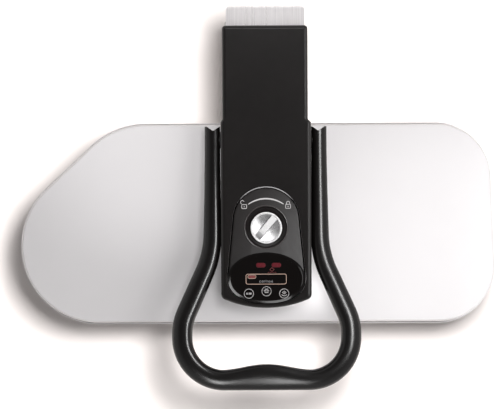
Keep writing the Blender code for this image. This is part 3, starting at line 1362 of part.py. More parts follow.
def cam_sleeve():
    """Sleeve on the shaft with two pressing cams and the notched lock disc between them."""
    reach = CAM_SPACING / 2 + CAM_THICKNESS / 2
    sleeve = SHAFT_RADIUS + GAP + SLEEVE_WALL
    body = cross_bar("cam_sleeve", reach, SHAFT_Y, SHAFT_Z, sleeve, "zinc_steel")
    lobe = (SHAFT_Y - CAM_THROW * math.sin(CAM_START), SHAFT_Z - CAM_THROW * math.cos(CAM_START))
    ovals = [(SHAFT_Y, SHAFT_Z, CAM_HUB_RADIUS, CAM_HUB_RADIUS), (*lobe, CAM_LOBE_RADIUS, CAM_LOBE_RADIUS)]
    profile = hull_outline(ovals, 0, ROUND_SIDES)
    for name, x in (("left", -CAM_SPACING / 2), ("right", CAM_SPACING / 2)):
        low, high = arm_x(x - CAM_THICKNESS / 2), arm_x(x + CAM_THICKNESS / 2)
        join(body, cross_slab(f"cam_{name}", profile, low, high, "zinc_steel"))
    half = LOCK_DISC_THICKNESS / 2
    join(body, cross_bar("lock_disc", half, SHAFT_Y, SHAFT_Z, LOCK_DISC_RADIUS, "zinc_steel"))
    cut(body, block(
        "lock_notch",
        (arm_x(-half - GAP), SHAFT_Y - LOCK_DISC_RADIUS - OVERRUN, ROD_Z - ROD_CLEARANCE),
        (arm_x(half + GAP), SHAFT_Y - LOCK_DISC_RADIUS + LOCK_NOTCH_DEPTH, ROD_TOP + ROD_CLEARANCE),
        "zinc_steel",
    ))
    cut(body, cross_bar("sleeve_bore", reach + OVERRUN, SHAFT_Y, SHAFT_Z, SHAFT_RADIUS + GAP, "zinc_steel"))
    return body


def pressure_bar():
    """Flat bar from its rear pivot to the plate's yoke, pressed down by the cams."""
    eye = BAR_PIN_RADIUS + BAR_CLEARANCE + BAR_EYE_WALL
    half = BAR_WIDTH / 2
    body = block(
        "pressure_bar",
        (arm_x(-half), PLATE_CENTRE_Y, BAR_TOP - BAR_THICKNESS),
        (arm_x(half), BAR_PIVOT_Y, BAR_TOP), "zinc_steel",
    )
    for name, y in (("front", PLATE_CENTRE_Y), ("rear", BAR_PIVOT_Y)):
        join(body, cross_bar(f"bar_eye_{name}", half, y, BAR_AXIS_Z, eye, "zinc_steel", 16))
    for name, y in (("front", PLATE_CENTRE_Y), ("rear", BAR_PIVOT_Y)):
        bore = BAR_PIN_RADIUS + BAR_CLEARANCE
        cut(body, cross_bar(f"bar_bore_{name}", half + OVERRUN, y, BAR_AXIS_Z, bore, "zinc_steel",
            SMALL_SIDES))
    return body


def bar_pivot_pin():
    """Fixed pin across the channel that the bar turns on."""
    return cross_bar("bar_pivot_pin", CHANNEL_WIDTH / 2, BAR_PIVOT_Y, BAR_AXIS_Z, BAR_PIN_RADIUS,
        "chrome", SMALL_SIDES)


def heating_plate():
    """Aluminium sole with a bevelled edge and steam holes in its face."""
    edge = COVER_LIP + COVER_WALL + 2 * GAP
    body = stack("heating_plate", [
        plate_ring(edge + SOLE_BEVEL, SOLE_Z), plate_ring(edge, SOLE_Z + SOLE_BEVEL),
        plate_ring(edge, SOLE_TOP),
    ], "aluminium")
    columns, rows = centred(STEAM_HOLE_COLUMNS, STEAM_HOLE_PITCH_X), centred(STEAM_HOLE_ROWS,
        STEAM_HOLE_PITCH_Y)
    holes = [circle(STEAM_HOLE_RADIUS, x, PLATE_CENTRE_Y + y, 8) for x in columns for y in rows]
    cut(body, prisms("steam_holes", holes, SOLE_Z - OVERRUN, SOLE_Z + STEAM_HOLE_DEPTH))
    return body


def heater_element():
    """Bent heating rod on the sole that follows its outline, with its two ends at the rear."""
    loop = [Vector((x, y, SOLE_TOP + GAP + ELEMENT_DIAMETER / 2)) for x, y in plate_outline(-ELEMENT_INSET)]
    start = OUTLINE_STEPS // 4 + 1
    opened = loop[start:] + loop[:start - 1]
    return tube("heater_element", even_line(opened, HEATER_STEPS), ELEMENT_DIAMETER / 2, "zinc_steel", 1)


def chamber_lid():
    """Lid of the steam chamber on the sole."""
    outline = rectangle(LID_LENGTH / 2, LID_DEPTH / 2, arm_x(), PLATE_CENTRE_Y, LID_CORNER)
    return slab("chamber_lid", outline, SOLE_TOP + GAP, LID_TOP, "aluminium")


def felt_layer():
    """Insulating felt over the heating rod, open round the lid's fittings."""
    body = slab("felt_layer", plate_outline(-FELT_INSET), FELT_Z, FELT_Z + FELT_THICKNESS, "felt")
    window = rectangle(FELT_WINDOW_X / 2, FELT_WINDOW_Y / 2, arm_x(), PLATE_CENTRE_Y)
    cut(body, prisms("felt_window", [window], FELT_Z - OVERRUN / 2, FELT_Z + OVERRUN))
    return body


def thermostat():
    """Round thermostat on the lid."""
    low = LID_TOP + GAP
    outline = circle(THERMOSTAT_RADIUS, arm_x(), PLATE_CENTRE_Y, 16)
    return slab("thermostat", outline, low, low + THERMOSTAT_HEIGHT, "brass")


def yoke_leg_spots():
    """Plan places of the yoke's four legs."""
    return [(arm_x(a * YOKE_LEG_X), PLATE_CENTRE_Y + b * YOKE_LEG_Y) for a in (-1, 1) for b in (-1, 1)]


def plate_cover():
    """White shell over the heating plate, with a lip round its foot and a rounded upper edge."""
    low, lip = SOLE_TOP - COVER_DROP, COVER_LIP
    ledge = SOLE_TOP + GAP
    outer = [plate_ring(0, low), plate_ring(0, low + COVER_LIP_HEIGHT),
        plate_ring(lip, low + COVER_LIP_HEIGHT)]
    outer += rounded_edge(lip, COVER_TOP, COVER_EDGE)
    seat = lip + COVER_WALL + GAP
    inner = [plate_ring(seat, low), plate_ring(seat, ledge), plate_ring(seat + lip, ledge)]
    inner += [plate_ring(seat + lip, COVER_TOP - COVER_EDGE),
        plate_ring(seat + COVER_EDGE, COVER_TOP - COVER_WALL)]
    body = shell("plate_cover", outer, inner, "white_enamel")
    holes = [circle(YOKE_LEG_RADIUS + GAP, x, y, SMALL_SIDES) for x, y in yoke_leg_spots()]
    holes.append(circle(PIPE_RADIUS + GAP, arm_x(-PORT_X), PIPE_Y, SMALL_SIDES))
    cut(body, prisms("cover_holes", holes, COVER_TOP - OVERRUN, COVER_TOP + OVERRUN))
    return body


def plate_yoke():
    """Bracket bolted through the cover to the lid, with two ears that hold the bar's pin."""
    outline = rectangle(YOKE_LENGTH / 2, YOKE_DEPTH / 2, arm_x(), PLATE_CENTRE_Y, YOKE_CORNER)
    body = slab("plate_yoke", outline, YOKE_Z, YOKE_TOP, "zinc_steel")
    legs = [circle(YOKE_LEG_RADIUS, x, y, SMALL_SIDES) for x, y in yoke_leg_spots()]
    join(body, prisms("yoke_legs", legs, LID_TOP + GAP, YOKE_Z + YOKE_THICKNESS / 2))
    ear, mid = YOKE_EAR_RADIUS, YOKE_Z + YOKE_THICKNESS / 2
    profile = rounded([
        (PLATE_CENTRE_Y - ear, mid, 0), (PLATE_CENTRE_Y + ear, mid, 0),
        (PLATE_CENTRE_Y + ear, BAR_AXIS_Z + ear, ear - GAP),
        (PLATE_CENTRE_Y - ear, BAR_AXIS_Z + ear, ear - GAP),
    ])
    for name, side in (("left", -1), ("right", 1)):
        near = side * (BAR_WIDTH / 2 + YOKE_EAR_CLEARANCE)
        low, high = sorted((near, near + side * YOKE_EAR_THICKNESS))
        join(body, cross_slab(f"yoke_ear_{name}", profile, arm_x(low), arm_x(high), "zinc_steel"))
    bore = BAR_PIN_RADIUS + GAP
    cut(body, cross_bar("yoke_bore", BAR_WIDTH, PLATE_CENTRE_Y, BAR_AXIS_Z, bore, "zinc_steel", SMALL_SIDES))
    return body


def yoke_pin():
    """Pin through the yoke's ears and the bar's front eye."""
    half = BAR_WIDTH / 2 + YOKE_EAR_CLEARANCE + YOKE_EAR_THICKNESS
    return cross_bar("yoke_pin", half, PLATE_CENTRE_Y, BAR_AXIS_Z, BAR_PIN_RADIUS, "chrome", SMALL_SIDES)


def steam_pipe():
    """Upright pipe from the steam chamber, whose end slides in the hose as the plate moves."""
    top, seat = HOSE_END_Z + HOSE_OVERLAP, COVER_TOP + GAP
    profile = [
        (0, LID_TOP + GAP), (PIPE_RADIUS, LID_TOP + GAP), (PIPE_RADIUS, seat), (PIPE_FLANGE_RADIUS, seat),
        (PIPE_FLANGE_RADIUS, seat + PIPE_FLANGE_HEIGHT), (PIPE_RADIUS, seat + PIPE_FLANGE_HEIGHT),
        (PIPE_RADIUS, top),
        (0, top),
    ]
    return turned("steam_pipe", profile, (arm_x(-PORT_X), PIPE_Y, 0), "brass", sides=SMALL_SIDES)


def tank_outline(inset=0):
    """Plan of the tank: square rear and a front that follows the arm's nose."""
    half = TANK_HALF - inset
    radius = ARM_COVER_NOSE_RADIUS - inset
    centre = NOSE_Y + ARM_COVER_NOSE_RADIUS
    bow = math.asin(half / radius)
    rear = TANK_REAR_Y - inset
    corner = max(TANK_CORNER - inset, GAP)
    outline = [(arm_x(half), rear, corner), (arm_x(-half), rear, corner)]
    outline += [
        (arm_x(radius * math.sin(bow * share)), centre - radius * math.cos(bow * share), 0)
        for share in (-1, *NOSE_SHARES, 1)
    ]
    return rounded(outline)


def water_tank():
    """Smoked tank that slides out to the front, with a filler in its top and an outlet at its rear."""
    wall = TANK_WALL
    body = slab("water_tank", tank_outline(), TANK_Z, TANK_TOP, "smoke_plastic")
    join(body, slab("tank_lip", tank_lip_outline(), TANK_TOP - wall, TANK_TOP + TANK_LIP_HEIGHT,
        "smoke_plastic"))
    join(body, cylinder(
        "tank_spigot",
        (arm_x(PORT_X), TANK_REAR_Y - wall / 2, SUPPLY_Z),
        (arm_x(PORT_X), TANK_REAR_Y + SPIGOT_RADIUS - GAP, SUPPLY_Z),
        SPIGOT_RADIUS, "smoke_plastic", SMALL_SIDES,
    ))
    filler = circle(FILLER_RADIUS, arm_x(), NOSE_Y + FILLER_INSET, SMALL_SIDES)
    cut(body, slab("tank_room", tank_outline(wall), TANK_Z + wall, TANK_TOP - wall, "smoke_plastic"))
    cut(body, prisms("tank_filler", [filler], TANK_TOP - 2 * wall, TANK_TOP + OVERRUN))
    return body


def tank_lip_outline():
    """Plan of the pull lip along the tank's front edge."""
    centre = NOSE_Y + ARM_COVER_NOSE_RADIUS
    bow = math.asin(TANK_HALF / ARM_COVER_NOSE_RADIUS)
    outline = []
    for radius, shares in (
        (ARM_COVER_NOSE_RADIUS, (-1, *NOSE_SHARES, 1)),
        (ARM_COVER_NOSE_RADIUS - TANK_LIP, (1, *NOSE_SHARES[::-1], -1)),
    ):
        for share in shares:
            outline.append((arm_x(radius * math.sin(bow * share)), centre - radius * math.cos(bow * share)))
    return outline


def tank_cap():
    """Plug in the tank's filler."""
    low, seat = TANK_TOP - CAP_PLUG, TANK_TOP + GAP
    profile = [
        (0, low), (FILLER_RADIUS - GAP, low), (FILLER_RADIUS - GAP, seat), (FILLER_RADIUS + CAP_RIM, seat),
        (FILLER_RADIUS + CAP_RIM, seat + CAP_THICKNESS), (0, seat + CAP_THICKNESS),
    ]
    return turned("tank_cap", profile, (arm_x(), NOSE_Y + FILLER_INSET, 0), "rubber", sides=SMALL_SIDES)


def tank_dock():
    """Port block under the web that meets the tank's outlet and holds the supply hose."""
    half_x, half_y = DOCK_WIDTH / 2, DOCK_DEPTH / 2
    x = arm_x(PORT_X)
    body = block(
        "tank_dock", (x - half_x, DOCK_Y - half_y, SUPPLY_Z - DOCK_FLOOR),
        (x + half_x, DOCK_Y + half_y, WEB_Z - GAP),
        "grey_plastic",
    )
    cut(body, cylinder(
        "dock_bore", (x, DOCK_Y, SUPPLY_Z), (x, DOCK_Y + DOCK_DEPTH, SUPPLY_Z), HOSE_RADIUS + GAP,
        "grey_plastic",
        SMALL_SIDES,
    ))
    return body


def water_pump():
    """Pump body under the web with a suction nozzle and a steam-side nozzle."""
    half_x, half_y = PUMP_WIDTH / 2, PUMP_DEPTH / 2
    outline = rectangle(half_x, half_y, arm_x(), PUMP_Y, PUMP_CORNER)
    body = slab("water_pump", outline, PUMP_Z, WEB_Z - GAP, "grey_plastic")
    front = PUMP_Y - half_y
    for name, x, z in (("suction", PORT_X, SUPPLY_Z), ("steam", -PORT_X, STEAM_Z - GAP)):
        start, end = (arm_x(x), front + NOZZLE_LENGTH, z), (arm_x(x), front - NOZZLE_LENGTH, z)
        join(body, cylinder(f"pump_nozzle_{name}", start, end, NOZZLE_RADIUS, "grey_plastic", SMALL_SIDES))
    return body


def supply_hose():
    """Hose from the dock to the pump's suction nozzle, under the lever shaft."""
    start, end = DOCK_Y + GAP, PUMP_Y - PUMP_DEPTH / 2 - NOZZLE_LENGTH - GAP
    points = []
    for step in range(HOSE_POINTS):
        share = step / (HOSE_POINTS - 1)
        sag = HOSE_SAG * math.sin(math.pi * share) ** 2
        points.append(Vector((arm_x(PORT_X), start + (end - start) * share, SUPPLY_Z - sag)))
    return tube("supply_hose", points, HOSE_RADIUS, "hose_rubber")


def steam_hose():
    """Hose from the pump over the lever shaft and down to the plate's pipe, which slides in its end."""
    x, low = arm_x(-PORT_X), HOSE_END_Z
    start = PUMP_Y - PUMP_DEPTH / 2 - NOZZLE_LENGTH - GAP
    corner = rounded([(start, STEAM_Z, 0), (PIPE_Y, STEAM_Z, HOSE_BEND), (PIPE_Y, low, 0)], 8)
    points = even_line([Vector((x, y, z)) for y, z in corner], HOSE_POINTS + 4)
    rings = []
    for i, point in enumerate(points):
        way = points[min(i + 1, len(points) - 1)] - points[max(i - 1, 0)]
        up = Vector((1, 0, 0)).cross(way.normalized())
        rings.append([point + Vector((a, 0, 0)) + up * b for a, b in circle(HOSE_RADIUS, sides=SMALL_SIDES)])
    body = stack("steam_hose", rings, "hose_rubber")
    bore = circle(HOSE_BORE, x, PIPE_Y, 8)
    cut(body, prisms("hose_bore", [bore], low - OVERRUN, low + HOSE_BORE_DEPTH))
    return body


def base():
    """Everything that stands still."""
    base_shell()
    base_floor()
    feet()
    power_inlet()
    board_posts()
    board_pan()
    board_pad()
    board_cloth()
    column_frame()
    hinge_pin()
    column_cover()
    lift_springs()
    stop_rod()


def arm():
    """The arm and all that it carries, each moving body on an empty at its joint."""
    fixed = [
        arm_channel(), arm_cover(), control_fascia(), display_lens(), display_unit(),
        control_board(), knob_bezel(),
        rod_guide(), bar_pivot_pin(), tank_dock(), water_pump(), supply_hose(), steam_hose(),
        *lamps(), *shaft_bushes(),
    ]
    lift = carrier("arm_pivot", (arm_x(), HINGE_Y, HINGE_Z), fixed)
    plate = [
        heating_plate(), heater_element(), chamber_lid(), felt_layer(), thermostat(),
        plate_cover(), plate_yoke(),
        yoke_pin(), steam_pipe(),
    ]
    carrier("plate_slide", (arm_x(), PLATE_CENTRE_Y, COVER_TOP), plate, lift)
    carrier("lever_pivot", (arm_x(), SHAFT_Y, SHAFT_Z), [lever_loop(), lever_shaft(), cam_sleeve()], lift)
    carrier("bar_pivot", (arm_x(), BAR_PIVOT_Y, BAR_AXIS_Z), [pressure_bar()], lift)
    carrier("knob_pivot", (arm_x(), KNOB_Y, PANEL_TOP), [lock_knob(), knob_spindle()], lift)
    carrier("rod_slide", (arm_x(), ROD_PAD_Y, ROD_Z), [lock_rod()], lift)
    carrier("tank_slide", (arm_x(), NOSE_Y, TANK_Z), [water_tank(), tank_cap()], lift)
    for key, (x, y) in zip(keys(), key_spots().values()):
        carrier(f"{key.name}_slide", (x, y, LENS_TOP), [key], lift)


def build():
    """The whole press in an empty scene."""
    for old in list(bpy.data.objects):
        bpy.data.objects.remove(old)
    base()
    arm()


build()
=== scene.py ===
"""Looks of the steam ironing press: camera, light, materials and finely shaped pieces over the fixed frame.

Lengths are millimetres in the frame's axes, and become metres where a mesh is made. The camera, the lamps and
the floor are placed in metres.
"""

import json
import math

import bmesh
import bpy
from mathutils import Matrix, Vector, noise

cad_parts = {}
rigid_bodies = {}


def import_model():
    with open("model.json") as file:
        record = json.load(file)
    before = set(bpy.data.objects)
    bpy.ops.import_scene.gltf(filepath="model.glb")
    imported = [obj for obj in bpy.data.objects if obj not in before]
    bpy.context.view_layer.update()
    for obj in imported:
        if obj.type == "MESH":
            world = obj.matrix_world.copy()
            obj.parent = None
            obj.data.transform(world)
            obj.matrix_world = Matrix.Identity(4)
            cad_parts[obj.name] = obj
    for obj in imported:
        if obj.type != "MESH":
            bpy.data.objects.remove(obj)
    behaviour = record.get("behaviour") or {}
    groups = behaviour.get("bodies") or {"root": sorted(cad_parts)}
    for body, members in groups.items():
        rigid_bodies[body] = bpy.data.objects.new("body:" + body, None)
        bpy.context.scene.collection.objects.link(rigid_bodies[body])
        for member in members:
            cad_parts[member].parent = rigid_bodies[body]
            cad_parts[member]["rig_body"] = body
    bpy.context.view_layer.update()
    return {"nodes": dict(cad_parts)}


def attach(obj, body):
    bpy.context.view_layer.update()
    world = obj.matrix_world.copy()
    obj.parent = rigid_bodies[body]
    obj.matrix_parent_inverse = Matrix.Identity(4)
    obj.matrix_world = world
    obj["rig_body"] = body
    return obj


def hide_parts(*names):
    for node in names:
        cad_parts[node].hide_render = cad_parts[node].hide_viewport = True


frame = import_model()
MM = 0.001
scene = bpy.context.scene

# places that several pieces share: x of the arm's middle, y of the knob and its well, y and z of the shaft
AX = 11.0
KNOB_Y = -39.5
WELL_Y = -38.6
SHAFT_Y, SHAFT_Z = 76, 185.3
# the top of the arm cover and the top of the print on the lens
ARM_TOP = 218.3
LENS_PRINT = 219.3
# a Mix node's colour sockets have the names of its number sockets, so they are found by their places
MIX_A, MIX_B, MIX_RESULT = 6, 7, 2


# Shader nodes

def wire(tree, kind, inputs, output=0, **settings):
    """Adds a shader node, sets or links its inputs, and gives one of its outputs."""
    node = tree.nodes.new("ShaderNode" + kind)
    for setting, value in settings.items():
        setattr(node, setting, value)
    for socket, value in inputs.items():
        if isinstance(value, bpy.types.NodeSocket):
            tree.links.new(value, node.inputs[socket])
        else:
            node.inputs[socket].default_value = value
    return node.outputs[output]


def ranged(tree, value, source, target, kind="LINEAR"):
    """Maps a value from one span of numbers to another."""
    ends = dict(zip(("From Min", "From Max", "To Min", "To Max"), (*source, *target)))
    return wire(tree, "MapRange", {"Value": value, **ends}, "Result", interpolation_type=kind)


def raised(tree, height, strength, depth, under=None):
    """Gives a material a relief of a depth in millimetres, over another one where that is given."""
    inputs = {"Height": height, "Strength": strength, "Distance": depth * MM}
    if under is not None:
        inputs["Normal"] = under
    tree.links.new(wire(tree, "Bump", inputs), tree.nodes["Principled BSDF"].inputs["Normal"])


def looked_at(tree, *rays):
    """1 for rays of the kinds named and 0 for others."""
    path = tree.nodes.new("ShaderNodeLightPath").outputs
    seen = path[f"Is {rays[0]} Ray"]
    for ray in rays[1:]:
        seen = wire(tree, "Math", {0: seen, 1: path[f"Is {ray} Ray"]}, operation="MAXIMUM")
    return seen


# Materials

def finish(name, colour, rough, metal=0.0, shade=0.86, patch=30, grain=1400, bump=0.12, depth=0.15,
           rvar=0.06, stretch=(1, 1, 1), **sockets):
    """A Principled material whose colour, roughness and surface vary at scales given in copies a metre."""
    made = bpy.data.materials.new(name)
    made.use_nodes = True
    tree = made.node_tree
    shader = tree.nodes["Principled BSDF"].inputs
    shader["Metallic"].default_value = metal
    for socket, value in sockets.items():
        shader[socket.replace("_", " ")].default_value = value
    place = wire(tree, "TexCoord", {}, "Object")
    # most of a noise texture's values lie in this span
    common = (0.3, 0.7)

    def cloud(scale, detail):
        spread = wire(tree, "Mapping", {"Vector": place, "Scale": stretch})
        return wire(tree, "TexNoise", {"Vector": spread, "Scale": scale, "Detail": detail}, "Fac")

    dark = tuple(c * shade for c in colour)
    share = ranged(tree, cloud(patch, 4.0), common, (0, 1))
    tones = {"Factor": share, MIX_A: (*dark, 1), MIX_B: (*colour, 1)}
    tree.links.new(wire(tree, "Mix", tones, MIX_RESULT, data_type="RGBA"), shader["Base Color"])
    roughness = ranged(tree, cloud(grain / 6, 2.0), common, (rough - rvar, rough + rvar))
    tree.links.new(roughness, shader["Roughness"])
    raised(tree, cloud(grain, 2.0), bump, depth)
    return made


def woven(name, colour, pitch):
    """A plain weave: threads along X and Y at a pitch in millimetres, with a soft sheen."""
    made = finish(name, colour, 0.85, shade=0.9, patch=14, grain=900, bump=0.2, Sheen_Weight=0.25)
    tree = made.node_tree
    place = tree.nodes["Texture Coordinate"].outputs["Object"]
    # a wave texture of scale 1 repeats every pi / 10, and a thread and the gap beside it take a pitch each
    bands = {"Vector": place, "Scale": 1000 / pitch / 20 * math.pi, "Distortion": 0.4}
    waves = [wire(tree, "TexWave", bands, "Fac", bands_direction=way) for way in ("X", "Y")]
    cross = wire(tree, "Math", {0: waves[0], 1: waves[1]}, operation="MAXIMUM")
    raised(tree, cross, 0.5, 0.25, tree.nodes["Bump"].outputs["Normal"])
    return made


ENAMEL = finish("enamel_white", (0.80, 0.775, 0.782), 0.36, shade=0.975, patch=9, grain=260, bump=0.05,
                depth=0.3, rvar=0.05, Specular_IOR_Level=0.4)
# painted shade for narrow grooves, darker than the white round them
GROOVE_SHADE_ENAMEL = finish("enamel_painted_groove_shade", (0.20, 0.185, 0.18), 0.5, shade=0.9, patch=12, grain=500, bump=0.05, depth=0.2)
BLACK = finish("plastic_black", (0.0080, 0.0063, 0.0060), 0.31, shade=0.8, patch=22, grain=1100, bump=0.03,
               depth=0.05, rvar=0.03, Specular_IOR_Level=0.32)
PANEL = finish("plastic_panel", (0.0130, 0.0103, 0.0100), 0.31, shade=0.85, patch=16, grain=1100, bump=0.03,
               depth=0.05, rvar=0.03, Specular_IOR_Level=0.5)
# a dark plastic lighter than the black round it: a painted sheen that brightens the highlight on the well's
# lip
LIP_SHEEN = finish("plastic_lip_sheen", (0.050, 0.043, 0.042), 0.24, shade=0.85, patch=40, grain=1900, bump=0.1,
             depth=0.08, rvar=0.03, Specular_IOR_Level=0.6)
GRIP = finish("plastic_handle", (0.0052, 0.0040, 0.0038), 0.25, shade=0.7, patch=25, grain=900, bump=0.002,
              depth=0.02, rvar=0.01, Specular_IOR_Level=0.27)
GLOSS = finish("gloss_lens", (0.0030, 0.0018, 0.0016), 0.13, shade=0.8, patch=18, grain=300, bump=0.01,
               depth=0.05, rvar=0.02, Specular_IOR_Level=0.22)
WELL = finish("plastic_well", (0.0170, 0.0140, 0.0138), 0.36, shade=0.75, patch=30, grain=1500, bump=0.12,
              depth=0.1, Specular_IOR_Level=0.3)
# near-black painted shade for the floor of the gap round the panel
GAP_SHADE = finish("plastic_gap_painted_shade", (0.0020, 0.0017, 0.0016), 0.7, shade=0.8, patch=20, grain=900, bump=0.05,
             depth=0.05, Specular_IOR_Level=0.1)
SILVER = finish("steel_brushed", (0.90, 0.865, 0.87), 0.34, 0.34, shade=0.80, patch=430, grain=1500, bump=0.1,
                depth=0.05, rvar=0.07, stretch=(1, 0.02, 0.15))
# a darker copy of the brushed steel: painted shade on the channel's upright flanks
STEEL_FLANK_SHADED = finish("steel_flank_painted_shade", (0.56, 0.56, 0.57), 0.36, 0.85, shade=0.86, patch=430, grain=1500,
                     bump=0.1, depth=0.05, rvar=0.07, stretch=(0.06, 0.02, 1))
CHROME = finish("chrome_satin", (0.72, 0.715, 0.72), 0.27, 0.95, shade=0.92, patch=60, grain=900, bump=0.03,
                depth=0.05, rvar=0.04)
# a near-white, barely metallic copy of the chrome: a painted highlight on the knob's rim and grip bar
CHROME_PAINTED_HIGHLIGHT = finish("chrome_painted_highlight", (0.95, 0.94, 0.94), 0.26, 0.12, shade=0.97, patch=90, grain=1200, bump=0.02,
                depth=0.03, rvar=0.03)
ZINC = finish("steel_zinc", (0.56, 0.57, 0.59), 0.38, 0.9, shade=0.8, patch=120, grain=1500, bump=0.1,
              depth=0.05, rvar=0.08)
ALUMINIUM = finish("aluminium_sole", (0.70, 0.70, 0.71), 0.30, 0.9, shade=0.93, patch=40, grain=1100,
                   bump=0.08, depth=0.05, stretch=(0.05, 1, 1))
WHITE = finish("plastic_white", (0.74, 0.74, 0.73), 0.42, shade=0.96, patch=12, grain=1300, depth=0.08)
# grey plastic, also used for the painted shadow strips beside the knob's grip bar
GREY_PLASTIC_AND_SHADE = finish("plastic_grey_and_painted_shade", (0.10, 0.10, 0.105), 0.5, shade=0.85, patch=20, grain=1300, bump=0.15,
              depth=0.1)
RUBBER = finish("rubber", (0.016, 0.016, 0.016), 0.72, shade=0.75, patch=60, grain=900, bump=0.25,
                depth=0.1)
LAMP = finish("lamp_red", (0.155, 0.020, 0.028), 0.28, shade=0.72, patch=260, grain=900, bump=0.06,
              depth=0.05, Specular_IOR_Level=0.15)
BRASS = finish("brass", (0.70, 0.50, 0.22), 0.32, 0.95, shade=0.85, patch=90, grain=1200, bump=0.08,
               depth=0.05)
SMOKE = finish("tank_smoke", (0.05, 0.055, 0.065), 0.12, shade=0.9, patch=25, grain=300, bump=0.03,
               depth=0.1, Transmission_Weight=0.55, IOR=1.49)
BOARD = finish("circuit_board", (0.02, 0.16, 0.06), 0.45, shade=0.6, patch=700, grain=1500, bump=0.15,
               depth=0.05)
HOSE = finish("hose_rubber", (0.52, 0.52, 0.49), 0.5, shade=0.9, patch=60, grain=800, bump=0.1, depth=0.1)
PRINT = finish("print_white", (0.72, 0.70, 0.70), 0.55, shade=0.9, patch=400, grain=1200, bump=0.08,
               depth=0.03)
# grey print, also used for the painted highlight along the panel's rim
PRINT_DIM_AND_HIGHLIGHT = finish("print_grey_and_highlight", (0.50, 0.49, 0.50), 0.55, shade=0.85, patch=400, grain=1200, bump=0.08,
                   depth=0.03)
PRINT_AMBER = finish("print_amber", (0.74, 0.52, 0.42), 0.5, shade=0.85, patch=300, grain=1200, bump=0.08,
                     depth=0.03)
PRINT_RED = finish("print_red", (0.24, 0.05, 0.05), 0.5, shade=0.8, patch=300, grain=1200, bump=0.08,
                   depth=0.03)
FELT = finish("felt", (0.60, 0.58, 0.53), 0.95, shade=0.85, patch=120, grain=2200, bump=0.6, depth=0.4,
              Sheen_Weight=0.4)
CLOTH = woven("cotton_cloth", (0.60, 0.62, 0.66), 0.9)


# Outlines and rings

def circle(radius, x, y, sides):
    return [(x + radius * math.cos(i / sides * math.tau), y + radius * math.sin(i / sides * math.tau))
            for i in range(sides)]


def hull(ovals, off, count):
    """A tight band round ovals (x, y, half length, half depth), grown by an offset.

    A fifth number above 2 makes the lower half of an oval squarer.
    """
    def touch(oval, c, s):
        power = oval[4] if len(oval) > 4 and s < 0 else 2.0
        share = power / (power - 1)
        size = (abs(oval[2] * c) ** share + abs(oval[3] * s) ** share) ** (1 / share)
        spot = [oval[k] + oval[2 + k] * math.copysign((abs(oval[2 + k] * way) / size) ** (share - 1), way)
                for k, way in enumerate((c, s))]
        return size, spot

    found = []
    for i in range(count):
        c, s = math.cos(i / count * math.tau), math.sin(i / count * math.tau)
        best = max(ovals, key=lambda o: o[0] * c + o[1] * s + touch(o, c, s)[0])
        x, y = touch(best, c, s)[1]
        found.append((x + off * c, y + off * s))
    return found


def pill(length, depth, x, y, grow=0.0, count=40):
    half = (length - depth) / 2
    return hull([(x - half, y, depth / 2, depth / 2), (x + half, y, depth / 2, depth / 2)], grow, count)


def rounded(corners, segments):
    """A polygon of (x, y, radius) corners with each corner turned into an arc."""
    found = []
    for i, (x, y, radius) in enumerate(corners):
        if radius <= 0:
            found.append((x, y))
            continue
        here = Vector((x, y))
        before = (Vector(corners[i - 1][:2]) - here).normalized()
        after = (Vector(corners[(i + 1) % len(corners)][:2]) - here).normalized()
        half = (math.pi - before.angle(after)) / 2
        centre = here + (before + after).normalized() * (radius / math.cos(half))
        start = here + before * (radius * math.tan(half)) - centre
        side = 1 if before.x * after.y - before.y * after.x < 0 else -1
        for step in range(segments + 1):
            t = side * 2 * half * step / segments
            found.append((centre.x + start.x * math.cos(t) - start.y * math.sin(t),
                          centre.y + start.x * math.sin(t) + start.y * math.cos(t)))
    return found


def tablet(x, y, half, deep, radius, segments):
    """A rounded rectangle about a place, from half its length and half its depth."""
    signs = ((1, -1), (1, 1), (-1, 1), (-1, -1))
    return rounded([(x + a * half, y + b * deep, radius) for a, b in signs], segments)


def filled(outline, gap, like=None):
    """An outline with points added so that none are further apart than the gap, in it or in another one."""
    like = like or outline
    found = []
    for i, here in enumerate(outline):
        j = (i + 1) % len(outline)
        parts = max(1, math.ceil(math.dist(like[i], like[j]) / gap))
        found += [tuple(a + (b - a) * k / parts for a, b in zip(here, outline[j])) for k in range(parts)]
    return found


def heading(outline, i):
    """The way a closed outline runs at one of its points."""
    a, b = outline[i - 1], outline[(i + 1) % len(outline)]
    return Vector((b[0] - a[0], b[1] - a[1])).normalized()


def turn_line(radius, start, end, x, y, steps):
    """Points of an arc about a place, in degrees."""
    turns = [math.radians(start + (end - start) * i / steps) for i in range(steps + 1)]
    return [(x + radius * math.cos(t), y + radius * math.sin(t)) for t in turns]


def level(outline, z):
    return [(x, y, z) for x, y in outline]


def stack(outline, profile):
    """Rings of an outline at each (inset, height)."""
    return [level(outline(inset), z) for inset, z in profile]


def quarter(steps=6):
    return [k / steps * math.pi / 2 for k in range(steps + 1)]


def arc(outline, inset, top, size, steps=6, tall=None):
    """Rings of a quarter-round or quarter-oval edge that ends level with the top."""
    tall = tall or size
    return stack(outline, [(inset + size * (1 - math.cos(t)), top - tall * (1 - math.sin(t)))
                           for t in quarter(steps)])


# Pieces

def settle(piece, body, nodes=()):
    """Puts a piece on its body, and hides the nodes it stands for."""
    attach(piece, body)
    if nodes:
        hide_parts(*nodes)
    return piece


def placed(name, data):
    """An object of a mesh, a curve, a lamp or a camera, in the scene."""
    made = bpy.data.objects.new(name, data)
    scene.collection.objects.link(made)
    return made


